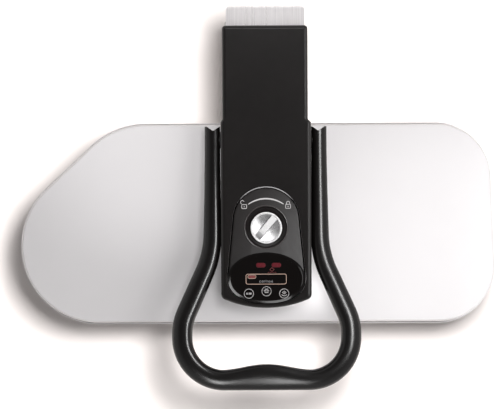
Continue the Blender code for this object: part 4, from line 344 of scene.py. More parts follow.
def shape(name, points, faces, sharp):
    """A mesh from points in millimetres, smooth but for edges sharper than the degrees given."""
    mesh = bpy.data.meshes.new(name)
    mesh.from_pydata([Vector(p) * MM for p in points], [], faces)
    work = bmesh.new()
    work.from_mesh(mesh)
    bmesh.ops.recalc_face_normals(work, faces=work.faces)
    work.to_mesh(mesh)
    work.free()
    mesh.shade_smooth()
    mesh.set_sharp_from_angle(angle=math.radians(sharp))
    return mesh


def solid(name, points, faces, look, body, nodes=(), sharp=38):
    """A mesh piece from points in millimetres."""
    mesh = shape(name, points, faces, sharp)
    mesh.materials.append(look)
    return settle(placed(name, mesh), body, nodes)


def strips(rings, loop=False):
    """Quads along rings of equal count."""
    count, faces = len(rings[0]), []
    for a in range(len(rings) if loop else len(rings) - 1):
        b = (a + 1) % len(rings)
        faces += [(a * count + i, a * count + (i + 1) % count, b * count + (i + 1) % count, b * count + i)
                  for i in range(count)]
    return faces


def loft(name, rings, look, body, nodes=(), loop=False, sharp=38):
    """A skin through rings, closed on itself or capped at both ends."""
    count, faces = len(rings[0]), strips(rings, loop)
    if not loop:
        last = (len(rings) - 1) * count
        faces += [tuple(range(count)), tuple(range(last, last + count))]
    return solid(name, [p for ring in rings for p in ring], faces, look, body, nodes, sharp)


def lathe(name, profile, centre, look, body, nodes=(), sides=96, sharp=38):
    """A profile of (radius, height) turned round an upright axis, from axis to axis or as a loop."""
    rings = [level(circle(r, *centre, sides), z) for r, z in profile]
    return loft(name, rings, look, body, nodes, profile[0] == profile[-1], sharp)


def relook(piece, look, chosen):
    """Gives a second look to the faces of a piece that a test picks."""
    piece.data.materials.append(look)
    for face in piece.data.polygons:
        if chosen(face):
            face.material_index = 1


def prism(outline, low, high):
    """Points and faces of an upright prism."""
    count = len(outline)
    points = level(outline, low) + level(outline, high)
    faces = strips([points[:count], points[count:]]) + [tuple(range(count)), tuple(range(count, 2 * count))]
    return points, faces


def box(low, high):
    corners = [(low[0], low[1]), (high[0], low[1]), (high[0], high[1]), (low[0], high[1])]
    return prism(corners, low[2], high[2])


def trim(piece, points, faces):
    """Cuts a closed form out of a piece."""
    tool = placed("cutter", shape("cutter", points, faces, 30))
    change = piece.modifiers.new("cut", "BOOLEAN")
    change.operation, change.solver, change.object = "DIFFERENCE", "EXACT", tool
    ready = bpy.context.evaluated_depsgraph_get()
    result = bpy.data.meshes.new_from_object(piece.evaluated_get(ready))
    piece.modifiers.clear()
    piece.data = result
    bpy.data.objects.remove(tool)
    piece.data.set_sharp_from_angle(angle=math.radians(38))


def dress(node, look, width, segments=2):
    """A copy of a node's form with softly rounded edges, which stands for it."""
    mesh = frame["nodes"][node].data.copy()
    for attribute in [a for a in mesh.attributes if a.name.startswith("custom_normal")]:
        mesh.attributes.remove(attribute)
    work = bmesh.new()
    work.from_mesh(mesh)
    bmesh.ops.remove_doubles(work, verts=work.verts, dist=0.02 * MM)
    bmesh.ops.dissolve_limit(work, angle_limit=math.radians(0.8), verts=work.verts, edges=work.edges)
    work.to_mesh(mesh)
    work.free()
    mesh.shade_smooth()
    mesh.set_sharp_from_angle(angle=math.radians(30))
    mesh.materials.clear()
    mesh.materials.append(look)
    made = placed(node + "_form", mesh)
    bevel = made.modifiers.new("edges", "BEVEL")
    bevel.width, bevel.segments, bevel.limit_method = width * MM, segments, "ANGLE"
    bevel.angle_limit = math.radians(34)
    bevel.harden_normals = True
    bevel.use_clamp_overlap = True
    return settle(made, frame["nodes"][node]["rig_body"], [node])


def marks(name, strokes, z, look, body, thick=0.12):
    """Thin raised print, down from a height: each stroke is (points, width or widths, closed)."""
    points, faces = [], []
    for line, widths, closed in strokes:
        count = len(line)
        sizes = widths if isinstance(widths, (list, tuple)) else [widths] * count
        start = len(points)
        for i, here in enumerate(line):
            before = line[i - 1 if closed or i else 0]
            after = line[(i + 1) % count if closed or i < count - 1 else i]
            way = (Vector(after) - Vector(before)).normalized()
            side = Vector((way.y, -way.x)) * sizes[i] / 2
            a, b = Vector(here) + side, Vector(here) - side
            points += [(*a, z), (*b, z), (*b, z - thick), (*a, z - thick)]
        for i in range(count if closed else count - 1):
            p, q = start + 4 * i, start + 4 * ((i + 1) % count)
            faces += [(p + k, p + (k + 1) % 4, q + (k + 1) % 4, q + k) for k in range(4)]
        if not closed:
            last = start + 4 * (count - 1)
            faces += [tuple(range(start, start + 4)), tuple(range(last, last + 4))]
    return solid(name, points, faces, look, body)


# Plate

PLATE = [(-213.7, -63.8, 106.3, 106.3), (243.3, -93.4, 76.7, 76.7), (240.2, 25.6, 75.3, 75.3),
         (-149.8, -9.4, 110.3, 110.3)]


def plate(inset=0.0, count=220):
    return hull(PLATE, -inset, count)


def plate_shell():
    """White pressed cover: a thin lip at its foot, a small groove and a soft upper edge."""
    aside = 0.45

    def wall(inset):
        return [(x + aside, y + aside) for x, y in plate(inset)]

    rings = stack(plate, ((5.0, 131.0), (4.9, 123.5), (0.7, 123.4), (0.1, 123.8), (0.0, 124.4), (0.0, 125.8),
                          (0.2, 126.15), (0.7, 126.25), (1.0, 126.0), (1.1, 124.4), (1.2, 124.2)))
    rings += stack(wall, ((2.5, 124.2), (2.65, 124.5), (2.7, 128.0)))
    rings += arc(wall, 2.7, 150.3, 3.5, 10, 9.0)
    shell = loft("plate_shell", rings, ENAMEL, "plate", ["plate_cover"], sharp=50)
    # the gutter between lip and wall is painted a darker enamel, as painted shade in a gap that light hardly
    # reaches
    first, last = (k * len(rings[0]) for k in (9, 12))
    relook(shell, GROOVE_SHADE_ENAMEL, lambda face: first <= face.index < last)


# Arm

SHIELD = [(AX, -29.6, 43.3, 43.0), (AX, -104.9, 50.8, 33.1, 2.25)]
SHIELD_CENTRE = (AX, -72.0)
REAR_SHIFT = 0.8


def shield(off):
    return hull(SHIELD, off, 240)


def arm_outline(inset=0.0):
    """Plan of the arm cover: straight rear, a small flare and a wider front with a bowed nose."""
    nose_y, nose_radius, rear_y = -144.5, 140.0, 224.5
    rear_half, front_half, radius = 56.3 - inset, 59.4 - inset, nose_radius - inset
    centre, bow = nose_y + nose_radius, math.asin(front_half / radius)

    def nose(turn):
        return AX + radius * math.sin(turn), centre - radius * math.cos(turn)

    corner, tail = max(8.0 - inset, 0.6), max(5.0 - inset, 0.6)
    right = [(*nose(bow), corner), (AX + front_half, 98.0, 0.8), (AX + rear_half, 102.0, 3.5),
             (AX + rear_half, rear_y - max(inset - 0.4, 0), tail)]
    left = [(2 * AX - x, y, size) for x, y, size in reversed(right)]
    right = right[:2] + [(x - REAR_SHIFT, y, size) for x, y, size in right[2:]]
    left = [(x - REAR_SHIFT, y, size) for x, y, size in left[:2]] + left[2:]
    bowed = [(*nose(bow * (k - 12) / 13), 0) for k in range(0, 25)]
    return rounded(right + left + bowed, 8)


def matched(outline, target):
    """Where rays from the shield's middle through an outline's points meet another outline."""
    cx, cy = SHIELD_CENTRE
    turns = [(math.atan2(y - cy, x - cx), math.dist((x, y), (cx, cy))) for x, y in target]
    turns.sort()
    angles = [t for t, _ in turns]
    found = []
    for x, y in outline:
        t = math.atan2(y - cy, x - cx)
        k = next((i for i, a in enumerate(angles) if a > t), 0)
        a0, r0 = turns[k - 1]
        a1, r1 = turns[k]
        span = (a1 - a0) % math.tau
        share = ((t - a0) % math.tau) / span if span else 0
        p0, p1 = Vector((math.cos(a0), math.sin(a0))) * r0, Vector((math.cos(a1), math.sin(a1))) * r1
        spoke = Vector((math.cos(t), math.sin(t)))
        edge = p1 - p0
        cross = spoke.x * edge.y - spoke.y * edge.x
        far = (p0.x * edge.y - p0.y * edge.x) / cross if abs(cross) > 1e-9 else r0 + (r1 - r0) * share
        found.append((cx + spoke.x * far, cy + spoke.y * far))
    return found


def arm_shell():
    """Black satin moulding with drafted sides, a rounded upper edge and an opening for the panel."""
    plan = arm_outline()

    def ring(inset):
        # each ring gets as many points as the plan, so that the rings match
        return filled(arm_outline(inset), 3.0, plan)

    hole = [matched(ring(6.2), shield(off)) for off in (0.8, 0.82, 0.88, 1.0, 1.3)]
    edge = ((0, 215.4), (0, 216.9), (1, 217.9), (2, 218.15), (3, 218.28), (4, ARM_TOP))
    rings = [level(hole[k], z) for k, z in edge]
    rings += stack(ring, ((6.2, ARM_TOP), (5.7, ARM_TOP)))
    rings += stack(ring, [(0.4 + 5.0 * (1 - math.sin(t)), ARM_TOP - 4.2 * (1 - math.cos(t)))
                          for t in quarter()])
    rings += stack(ring, ((0.05, 165.0), (0.0, 161.0), (0.3, 160.4), (1.9, 160.4), (2.2, 161.0),
                          (4.0, 213.9), (4.3, 216.0)))
    shell = loft("arm_shell", rings, BLACK, "arm", ["arm_cover"], loop=True)
    # the nose is open for the tank, and the tail for the channel
    trim(shell, *box((AX - 49, -170, 150), (AX + 49, -125.5, 196.9)))
    trim(shell, *box((AX - 51.8, 215, 150), (AX + 51.8, 230, 200.6)))


def fascia():
    """Dark panel with a softly rounded rim and a well for the knob."""
    def crowned(off, drop):
        return [(x, y, 218.0 - 1.3 * ((x - AX) / 42) ** 2 - 0.8 * ((y + 25) / 60) ** 2 - drop)
                for x, y in shield(off)]

    rings = stack(shield, ((0.6, 213.9), (0.6, 214.3), (-0.9, 214.4)))
    steps = (0, 0.1, 0.3, 0.7, 2, 4, 7, 11, 16, 22, 27)
    rings += [crowned(-0.9 - k, 0.6 * math.exp(-k / 0.22)) for k in steps]
    panel = loft("fascia_panel", rings, PANEL, "arm", ["control_fascia"])
    # the bottom of the narrow gap round the panel is painted near black, as painted shade
    gap_floor = 214.6 * MM
    relook(panel, GAP_SHADE, lambda face: face.center.z < gap_floor and len(face.vertices) == 4)
    trim(panel, *prism(circle(27.0, AX, WELL_Y, 96), 205, 230))
    well = ((4.2, 210.5), (26.9, 210.5), (27.4, 217.0), (26.9, 217.6), (26.6, 216.9), (26.4, 215.3),
            (25.9, 214.6), (24.7, 214.1), (22.8, 213.4), (21.8, 212.9), (21.4, 212.5), (4.2, 212.5),
            (4.2, 210.5))
    lathe("knob_well", well, (AX, WELL_Y), WELL, "arm", ["knob_bezel"], sharp=60)
    # the lip ring is coloured lighter than the black round it, as a painted sheen
    lip = ((26.9, 216.4), (28.9, 216.4), (28.9, 217.7), (28.7, 218.1), (28.3, 218.4), (27.9, 218.5),
           (27.5, 218.4), (27.1, 218.1), (26.9, 217.7), (26.9, 216.4))
    lathe("well_lip", lip, (AX, WELL_Y), LIP_SHEEN, "arm", sharp=60)


# Knob

KNOB_WAY = (math.cos(math.radians(49.5)), math.sin(math.radians(49.5)))
KNOB_FLOOR = 219.95


def on_knob(p, q, z):
    """A place on the knob, p along its slanting grip bar and q across it."""
    c, s = KNOB_WAY
    return AX + p * c - q * s, KNOB_Y + p * s + q * c, z


def dished(start, p, q):
    """Height of the hollow beside the grip bar, above the one at its lowest point."""
    return start + 0.0082 * ((p - 4) ** 2 + (q - 10) ** 2)


def knob_dish(name, side, start):
    """The hollow on one side of the grip bar, from a distance off the middle to the rim."""
    radius, across, along = 17.5, 22, 60
    top, low = [], []
    for i in range(along + 1):
        p = -math.sqrt(radius ** 2 - start ** 2) * math.cos(math.pi * i / along) * 0.999
        end = math.sqrt(max(radius ** 2 - p * p, start ** 2))
        for j in range(across + 1):
            q = start + (end - start) * j / across
            top.append(on_knob(p, side * q, dished(220.3, p, q)))
            low.append(on_knob(p, side * q, KNOB_FLOOR))
    wide, count = across + 1, len(top)
    grid = [(i * wide + j, i * wide + j + 1, (i + 1) * wide + j + 1, (i + 1) * wide + j)
            for i in range(along) for j in range(across)]
    rim = ([i * wide for i in range(along + 1)] + [along * wide + j for j in range(1, wide)]
           + [i * wide + across for i in range(along - 1, -1, -1)] + [j for j in range(across - 1, 0, -1)])
    skirt = [(a, b, b + count, a + count) for a, b in zip(rim, rim[1:] + rim[:1])]
    faces = grid + [tuple(k + count for k in face) for face in grid] + skirt
    solid("knob_dish_" + name, top + low, faces, CHROME, "knob", sharp=50)


def knob_shade_strip(name, middle, first, last, size):
    """A fine dark strip along one side of the grip bar: a painted shadow where the bar meets the dish."""
    rings, foot = [], 219.97
    for step in range(25):
        p = first + (last - first) * step / 24
        wide = size * min(1, 0.25 + 4 * step / 24)
        z = dished(220.4, p, abs(middle))
        rings.append([on_knob(p, middle - wide, foot), on_knob(p, middle - wide, z),
                      on_knob(p, middle + wide, z), on_knob(p, middle + wide, foot)])
    loft("knob_shade_strip_" + name, rings, GREY_PLASTIC_AND_SHADE, "knob", sharp=20)


def knob():
    """Satin chrome knob: a turned cup, a dish on each side and a slanting grip bar with a cut lower end."""
    # the cup and the grip bar take the painted-highlight copy of the chrome, the dishes the plain satin
    # chrome
    cup = ((0.4, 213.5), (19.9, 213.5), (20.5, 214.1), (20.5, 223.5), (20.4, 224.0), (20.1, 224.3),
           (19.6, 224.45), (19.0, 224.45), (18.5, 224.3), (18.1, 223.9), (17.8, 223.2), (17.6, 220.0),
           (0.4, 219.9))
    lathe("knob_turned", cup, (AX, KNOB_Y), CHROME_PAINTED_HIGHLIGHT, "knob", ["lock_knob"], 160, sharp=50)
    knob_dish("upper", 1, 5.3)
    knob_dish("lower", -1, 4.1)
    knob_shade_strip("upper", 5.25, -9.0, 15.8, 0.42)
    knob_shade_strip("lower", -3.95, -15.5, 15.5, 0.3)
    crest = ((-17.7, 221.3), (-16, 221.7), (-13.5, 222.5), (-10.6, 223.7), (-9.6, 224.2), (-8.8, 224.45),
             (-6, 224.5), (0, 224.5), (8, 224.5), (14, 224.5), (17.7, 224.45))
    section = ((-3.6, -0.7), (-3.45, -0.25), (-3.0, 0), (0.6, 0.02), (4.2, 0), (4.65, -0.25), (4.8, -0.7))
    rings = [[on_knob(p, -3.6, KNOB_FLOOR)] + [on_knob(p, q, top + rise) for q, rise in section]
             + [on_knob(p, 4.8, KNOB_FLOOR)] for p, top in crest]
    bar = loft("knob_bar", rings, CHROME_PAINTED_HIGHLIGHT, "knob", sharp=20)

    def cut_end(face):
        spot = face.center / MM
        return (spot.x - AX) * KNOB_WAY[0] + (spot.y - KNOB_Y) * KNOB_WAY[1] < -9.7

    # the cut lower end keeps the plain satin chrome, darker than the painted highlight of the bar
    relook(bar, CHROME, cut_end)


# Lens, keys and print

LENS = [(AX, -104.8, 50.3, 33.2, 2.25)]
KEYS = {"key_left": (AX - 23, -125.1), "key_middle": (AX, -122.1), "key_right": (AX + 23, -125.1)}
LAMPS = {"lamp_left": (AX - 7.3, -88.1), "lamp_right": (AX + 12.9, -88.1)}


def lamp_window(x, y, grow=0.0):
    return pill(12.4, 6.0, x, y, grow)


def lens():
    """Gloss black oval with a rounded edge, open round the keys and the lamps."""
    profile = ((0.2, 217.6), (0.0, 217.9), (0.1, 217.95), (0.4, 218.1), (0.9, 218.29), (1.9, 218.65),
               (2.9, 218.97), (3.5, 219.11), (4.1, 219.18), (4.9, 219.2))
    rings = stack(lambda inset: hull(LENS, -inset, 160), profile)
    glass = loft("lens_gloss", rings, GLOSS, "arm", ["display_lens"], sharp=60)
    openings = [circle(7.2, x, y, 48) for x, y in KEYS.values()]
    openings += [lamp_window(x, y, 0.25) for x, y in LAMPS.values()]
    for outline in openings:
        trim(glass, *prism(outline, 210, 225))


def key_signs(name, x, y):
    """The sign inside a key's ring: a row of bars, a few dashes or a lozenge over an arc."""
    if name == "key_left":
        return [([(x + k, y - w), (x + k, y + w)], 0.62, False) for k, w in
                ((-3.0, 1.1), (-2.0, 1.3), (0.2, 1.3), (1.2, 1.1), (2.2, 1.3), (3.1, 1.0))]
    if name == "key_middle":
        return [([(x + a, y + k), (x + b, y + k)], w, False) for a, b, k, w in
                ((-2.2, 2.2, 2.7, 0.8), (-3.3, -0.3, 0.5, 0.9), (0.4, 3.3, 0.5, 0.9), (-2.4, 2.4, -1.7, 0.7))]
    return [([(x, y + 3.2), (x + 2.5, y + 1.2), (x, y - 0.7), (x - 2.5, y + 1.2)], 0.6, True),
            ([(x - 0.5, y + 1.2), (x + 0.5, y + 1.2)], 1.0, False),
            (turn_line(4.2, 218, 322, x, y + 1.2, 16), 0.65, False)]


def keys():
    cap = ((0.4, 213.0), (6.8, 213.0), (6.8, 219.2), (6.6, 219.5), (6.1, 219.6), (0.4, 219.6))
    for name, (x, y) in KEYS.items():
        lathe(name + "_cap", cap, (x, y), GLOSS, name, [name], 64)
        ring = [(circle(6.0, x, y, 56), 0.5, True)]
        marks(name + "_signs", ring + key_signs(name, x, y), 219.66, PRINT, name)


def display():
    """Red lamp windows and the printed window, flag, drop, dashes and word of the display."""
    for name, (x, y) in LAMPS.items():
        edge = ((0.0, 212.0), (0.0, 219.05), (-0.35, 219.3), (-1.0, 219.4))
        rings = [level(lamp_window(x, y, grow), z) for grow, z in edge]
        loft(name + "_window", rings, LAMP, "arm", [name], sharp=60)
    window = tablet(AX - 0.4, -106.3, 26.2, 6.5, 2.4, 6)
    x, y = AX - 19.0, -103.2
    frames = [(window, 0.66, True), (pill(10.6, 4.6, x, y, 0.0, 32), 0.5, True)]
    marks("display_frame", frames, LENS_PRINT, PRINT_AMBER, "arm")
    flag = pill(9.2, 3.2, x, y)
    loft("display_flag", [level(flag, 219.1), level(flag, 219.28)], PRINT_RED, "arm")
    x, y = AX + 7.2, -93.9
    drop = [(x, y + 2.5), (x + 2.9, y), (x, y - 2.5), (x - 2.9, y)]
    marks("display_drop", [(drop, 0.75, True)], LENS_PRINT, PRINT_RED, "arm")
    dashes = [([(x - 5.6 + k, y - 3.6), (x - 3.4 + k, y - 3.6)], 0.42, False) for k in (0, 3, 6, 9)]
    marks("display_dash", dashes, LENS_PRINT, PRINT_RED, "arm")
    word = bpy.data.curves.new("display_word", "FONT")
    word.body, word.size, word.align_x, word.align_y = "COTTON", 3.4 * MM, "CENTER", "CENTER"
    word.extrude, word.space_character = 0.05 * MM, 1.38
    word.materials.append(PRINT_DIM_AND_HIGHLIGHT)
    shown = placed("display_word", word)
    shown.location = Vector((AX - 0.6, -109.6, 219.26)) * MM
    settle(shown, "arm")


def panel_marks():
    """The arc behind the knob, a painted highlight along the panel's upper rim and the two padlocks."""
    sweep = turn_line(40.4, 124.6, 55.4, AX - 0.3, -42.0, 60)
    widths = [1.1 + 0.75 * math.sin(math.pi * i / 60) ** 0.8 for i in range(61)]
    marks("panel_arc", [(sweep, widths, False)], 218.1, PRINT, "arm")
    # a grey line along the top of the panel's rim, tapering at its ends: a painted highlight
    rim = turn_line(43.4, 142, 38, AX, -29.7, 80)
    widths = [0.15 + 0.95 * min(1, 1.8 * math.sin(math.pi * i / 80)) for i in range(81)]
    marks("panel_rim_highlight", [(rim, widths, False)], 218.25, PRINT_DIM_AND_HIGHLIGHT, "arm", thick=0.6)
    for side, name in ((-1, "open"), (1, "shut")):
        x, y = AX + side * 28.6, -10.5
        body = tablet(x, y - 1.2, 3.2, 2.6, 1.0, 5)
        if name == "open":
            shackle = turn_line(2.3, 250, 20, x - 2.4, y + 4.4, 24)
        else:
            shackle = [(x - 2.1, y + 1.4)] + turn_line(2.1, 180, 0, x, y + 3.2, 20) + [(x + 2.1, y + 1.4)]
        strokes = [(body, 0.75, True), (shackle, 0.75, False), ([(x, y - 0.6), (x, y - 2.2)], 0.8, False)]
        marks("padlock_" + name, strokes, 218.05, PRINT, "arm")


def arm_parts():
    channel = dress("arm_channel", SILVER, 1.3, 4)
    # the folded flanks and ears are brushed along their length, the top across it; the flanks, picked by the
    # way they face, are also painted a darker steel as painted shade
    relook(channel, STEEL_FLANK_SHADED, lambda face: abs(face.normal.z) < 0.5)
    for side, name in ((-1, "left"), (1, "right")):
        start = AX + side * 59.2
        profile = ((8.0, 0.0), (11.0, 0.0), (11.0, 1.3), (10.4, 1.7), (8.0, 1.7), (8.0, 0.0))
        rings = [[(start + side * along, y, z) for y, z in circle(r, SHAFT_Y, SHAFT_Z, 48)]
                 for r, along in profile]
        loft("bush_" + name, rings, GRIP, "arm", ["shaft_bush_" + name], sharp=40)


# Handle

def handle():
    """Black loop: an oval tube with a soft crest, fuller at the grip, with a notch in each rear end."""
    # y of the rear ends, then the run from the shaft to the bend, the front of the grip and half its depth
    rear, run, grip_front, grip_half = 95.5, 239.5, -251.5, 13.3
    front, bend = grip_front + grip_half, SHAFT_Y - run
    right = [(70.8, rear, 0), (70.8, SHAFT_Y - 150.7, 120), (110.2, bend, 70), (110.2, front, 55)]
    left = [(-x, y, size) for x, y, size in reversed(right)]
    fine = [Vector(p) for p in rounded(right + left, 30)]
    # how far along the loop each point of the fine path lies
    far = [0.0]
    for a, b in zip(fine, fine[1:]):
        far.append(far[-1] + (b - a).length)
    tip, count = 12.0, 190
    stops = [tip * k / 12 for k in range(12)]
    stops += [tip + (far[-1] - 2 * tip) * k / count for k in range(count + 1)]
    stops += [far[-1] - tip * k / 12 for k in range(11, -1, -1)]
    path, i = [], 0
    for goal in stops:
        while i < len(fine) - 2 and far[i + 1] < goal:
            i += 1
        path.append(fine[i].lerp(fine[i + 1], (goal - far[i]) / (far[i + 1] - far[i])))
    points, sides, count = [], 64, len(path)
    for k, point in enumerate(path):
        way = (path[min(k + 1, count - 1)] - path[max(k - 1, 0)]).normalized()
        side = Vector((way.y, -way.x))
        ahead = (SHAFT_Y - point.y) / run
        share = min(max(ahead, 0), 1)
        share = share * share * (3 - 2 * share)
        swell = math.cos(math.pi / 2 * min(abs(point.x) / 62, 1)) ** 2
        grip = 7.6 * swell if ahead > 1 else 0.0
        wide, high = (20.4 + 6.2 * share + grip) / 2, (21 + 4 * share) / 2
        centre = Vector((AX + point.x * (1 - 0.0085 * (1 - share)), point.y + grip / 2))
        z0 = SHAFT_Z + 29 * min(max(ahead, 0), 1)
        near = min(stops[k], far[-1] - stops[k])
        # the crest runs inside the middle of the arms and waves across the grip
        crest = 0.15 + min(max(ahead - 1, 0) * 5, 1) * (0.13 + 0.2 * swell)
        for step in range(sides):
            t = step / sides * math.tau
            across, up = math.cos(t), math.sin(t)
            lobe = math.copysign(abs(across) ** 0.95, across)
            across = lobe + (crest * (1 - lobe * lobe) if up > 0 else 0)
            spot = centre + side * wide * across
            z = z0 + (high - 0.5) * math.copysign(abs(up) ** 0.95, up)
            if near < tip:
                notch = 6.0 * max(0, 1 - abs(across - 0.1) / 0.85)
                spot.y = rear - tip + (tip - 1.8 - notch) * (1 - near / tip)
            points.append((spot.x, spot.y, z))
    faces = strips([points[k:k + sides] for k in range(0, len(points), sides)])
    for start in (0, (count - 1) * sides):
        for j in range(sides // 2):
            quad = (start + j, start + j + 1, start + (sides - j - 1) % sides, start + (sides - j) % sides)
            faces.append(tuple(dict.fromkeys(quad)))
    solid("handle_loop", points, faces, GRIP, "lever", ["lever_loop"], sharp=48)


# Board

def board():
    """Fitted cotton cover with soft ripples at its drawn hem, over a swelling pad."""
    def wavy(outline, size, seed):
        made = []
        for i, (x, y) in enumerate(outline):
            n = noise.noise(Vector((x * 0.05, y * 0.05, seed))) * size
            way = heading(outline, i)
            made.append((x + way.y * n, y - way.x * n))
        return made

    def lay(inset, z, ripple, seed, drop=0.0):
        outline = wavy(plate(inset, 300), ripple, seed)
        return [(x, y, z + drop * noise.noise(Vector((x * 0.03, y * 0.03, seed + 7)))) for x, y in outline]

    outer = [lay(15, 93.4, 1.6, 3, 0.5), lay(9, 92.9, 1.3, 3, 0.6), lay(5.6, 93.4, 0.9, 2),
             lay(4.5, 95.2, 0.7, 2), lay(4.2, 100, 0.5, 1), lay(4.0, 106, 0.5, 1), lay(4.0, 112, 0.35, 1),
             lay(4.3, 115.4, 0.2, 1), lay(5.4, 117.6, 0.1, 1), lay(7.6, 118.5, 0.05, 1),
             lay(11, 118.75, 0, 1), lay(40, 118.75, 0, 1)]
    # the inner face keeps a cloth's thickness inside the outer one
    shift = [(0, 0.8), (0, 0.8), (0.6, 0.6), (0.8, 0.1), (0.8, 0), (0.8, 0), (0.8, 0), (0.8, -0.2),
             (0.6, -0.6), (0.3, -0.8), (0, -0.8), (0, -0.8)]
    inner = []
    for ring, (across, up) in zip(outer, shift):
        ways = [heading(ring, i) for i in range(len(ring))]
        inner.append([(x - way.y * across, y + way.x * across, z + up) for (x, y, z), way in zip(ring, ways)])
    return loft("cotton_cover", inner[::-1] + outer, CLOTH, "base", ["board_cloth"], sharp=60)


# Base

def base():
    """White tub with a rounded foot and deck edge, and the spine that runs back to the column."""
    def in_shaded_groove(face):
        # the narrow groove between the floor pan and the shell is painted darker, as painted shade
        return 25.9 < face.center.z / MM < 27.25

    rings = stack(plate, ((49.5, 10.2), (48.0, 10.1), (47.2, 10.8), (46.8, 12.5), (44.2, 25.4), (44.3, 25.9),
                          (45.2, 26.0), (45.2, 27.2), (44.0, 27.3), (43.8, 27.8), (37.2, 61.0), (36.4, 64.6)))
    rings += arc(plate, 36.2, 72.0, 6.0)
    relook(loft("base_tub", rings, WHITE, "base", ["base_shell"]), GROOVE_SHADE_ENAMEL, in_shaded_groove)
    low, middle = filled(tablet(AX, 113.25, 56, 133.25, 6, 6), 30), 113.0

    def drawn_in(size):
        return [(x - math.copysign(min(size, abs(x - AX)), x - AX),
                 y - math.copysign(min(size, abs(y - middle)), y - middle)) for x, y in low]

    rings = stack(drawn_in, ((1.2, 10.1), (0.2, 11.2), (0.0, 13.0), (0.0, 25.6), (0.3, 26.0), (1.3, 26.0),
                             (1.3, 27.2), (0.3, 27.2), (0.0, 27.6), (0.0, 64.0)))
    rings += stack(drawn_in, [(7.9 * (1 - math.cos(t)), 64.1 + 7.85 * math.sin(t)) for t in quarter()])
    spine = loft("base_spine", rings, WHITE, "base")
    relook(spine, GROOVE_SHADE_ENAMEL, in_shaded_groove)
    # the opening of the power inlet
    trim(spine, *box((AX + 40, 146.2, 22.7), (AX + 60, 176.8, 45.3)))


def other_parts():
    corners = ("front_left", "front_right", "rear_left", "rear_right")
    feet = ["foot_" + corner for corner in corners]
    posts = ["board_post_" + corner for corner in corners]
    plain = {
        "grey_plastic": (GREY_PLASTIC_AND_SHADE, ["base_floor", "power_inlet", "water_pump", "tank_dock", "display_unit"], 0.6),
        "rubber": (RUBBER, feet + ["foot_column", "stop_rod", "tank_cap"], 0.8),
        "zinc_steel": (ZINC, posts + ["board_pan", "column_frame", "rod_guide", "plate_yoke", "cam_sleeve",
                                      "pressure_bar", "knob_spindle", "lock_rod"], 0.4),
        "black_plastic": (BLACK, ["column_cover"], 1.2),
        "chrome": (CHROME, ["hinge_pin", "yoke_pin", "lever_shaft", "bar_pivot_pin"], 0.3),
        "aluminium": (ALUMINIUM, ["heating_plate", "chamber_lid"], 0.3),
        "brass": (BRASS, ["thermostat", "steam_pipe"], 0.3),
        "smoke_plastic": (SMOKE, ["water_tank"], 0.6),
    }
    for slot, (look, nodes, width) in plain.items():
        for node in nodes:
            dress(node, look, width)
    # these keep their own form and get a look alone
    bare = {"lift_spring_left": ZINC, "lift_spring_right": ZINC, "heater_element": ZINC,
            "control_board": BOARD, "supply_hose": HOSE, "steam_hose": HOSE}
    for node, look in bare.items():
        for place in frame["nodes"][node].material_slots:
            place.material = look


def soft_parts():
    """Pad under the cover and felt over the sole, with drawn-in sides."""
    rings = stack(plate, ((9.6, 107.9), (7.4, 109.0), (7.0, 111.0), (7.1, 113.6), (8.2, 115.9), (10.6, 117.1),
                          (14, 117.3)))
    pad = loft("foam_pad", rings, FELT, "base", ["board_pad"], sharp=70)
    # the felt is open in its middle, round the fittings of the chamber's lid
    middle = -34.6
    window = filled(tablet(0, middle, 60, 62, 6, 4), 3)
    rings = stack(plate, ((9.4, 138.0), (9.0, 139.0), (9.1, 140.6), (10.2, 141.7)))

    def turned_from(spot, t):
        return abs((math.atan2(spot[1] - middle, spot[0]) - t + math.pi) % math.tau - math.pi)

    turns = [math.atan2(y - middle, x) for x, y, _ in rings[0]]
    inner = [min(window, key=lambda spot: turned_from(spot, t)) for t in turns]
    rings += [level(inner, 141.7), level(inner, 138.0)]
    felt = loft("felt_blanket", rings, FELT, "plate", ["felt_layer"], loop=True, sharp=70)


plate_shell()
arm_shell()
fascia()
knob()
lens()
keys()
display()
panel_marks()
arm_parts()
handle()
cover = board()
base()
soft_parts()
other_parts()


# Floor, camera and light

def ground():
    """A white floor that takes real shade near the press and glows white further off."""
    look = bpy.data.materials.new("floor_white")
    look.use_nodes = True
    tree = look.node_tree
    shader = tree.nodes["Principled BSDF"].inputs
    shader["Base Color"].default_value = (0.93, 0.87, 0.845, 1)
    shader["Roughness"].default_value = 0.8
    shader["Specular IOR Level"].default_value = 0.1
    shader["Emission Color"].default_value = (1, 0.97, 0.96, 1)
    place = wire(tree, "TexCoord", {}, "Object")
    away = wire(tree, "VectorMath", {0: place}, "Value", operation="LENGTH")
    glow = ranged(tree, away, (0.42, 0.90), (0.0, 0.8), "SMOOTHSTEP")
    shown = wire(tree, "Math", {0: glow, 1: looked_at(tree, "Camera", "Glossy")}, operation="MULTIPLY")
    tree.links.new(shown, shader["Emission Strength"])
    mesh = bpy.data.meshes.new("floor")
    half, drop = 4.0, -0.0002
    corners = [(x, y, drop) for x, y in ((-half, -half), (half, -half), (half, half), (-half, half))]
    mesh.from_pydata(corners, [], [(0, 1, 2, 3)])
    mesh.materials.append(look)
    placed("floor", mesh)


def hang(name, kind, place, aim, power, pieces, state="INCLUDE"):
    """A lamp that looks at a place and reaches the pieces named alone, or all but those."""
    made = placed(name, bpy.data.lights.new(name, kind))
    made.data.energy = power
    made.location = place
    made.rotation_euler = (Vector(aim) - Vector(place)).to_track_quat("-Z", "Y").to_euler()
    linked = bpy.data.collections.new(name + "_reach")
    for piece in pieces:
        linked.objects.link(bpy.data.objects[piece])
    for entry in linked.collection_objects:
        entry.light_linking.link_state = state
    made.light_linking.receiver_collection = linked
    return made


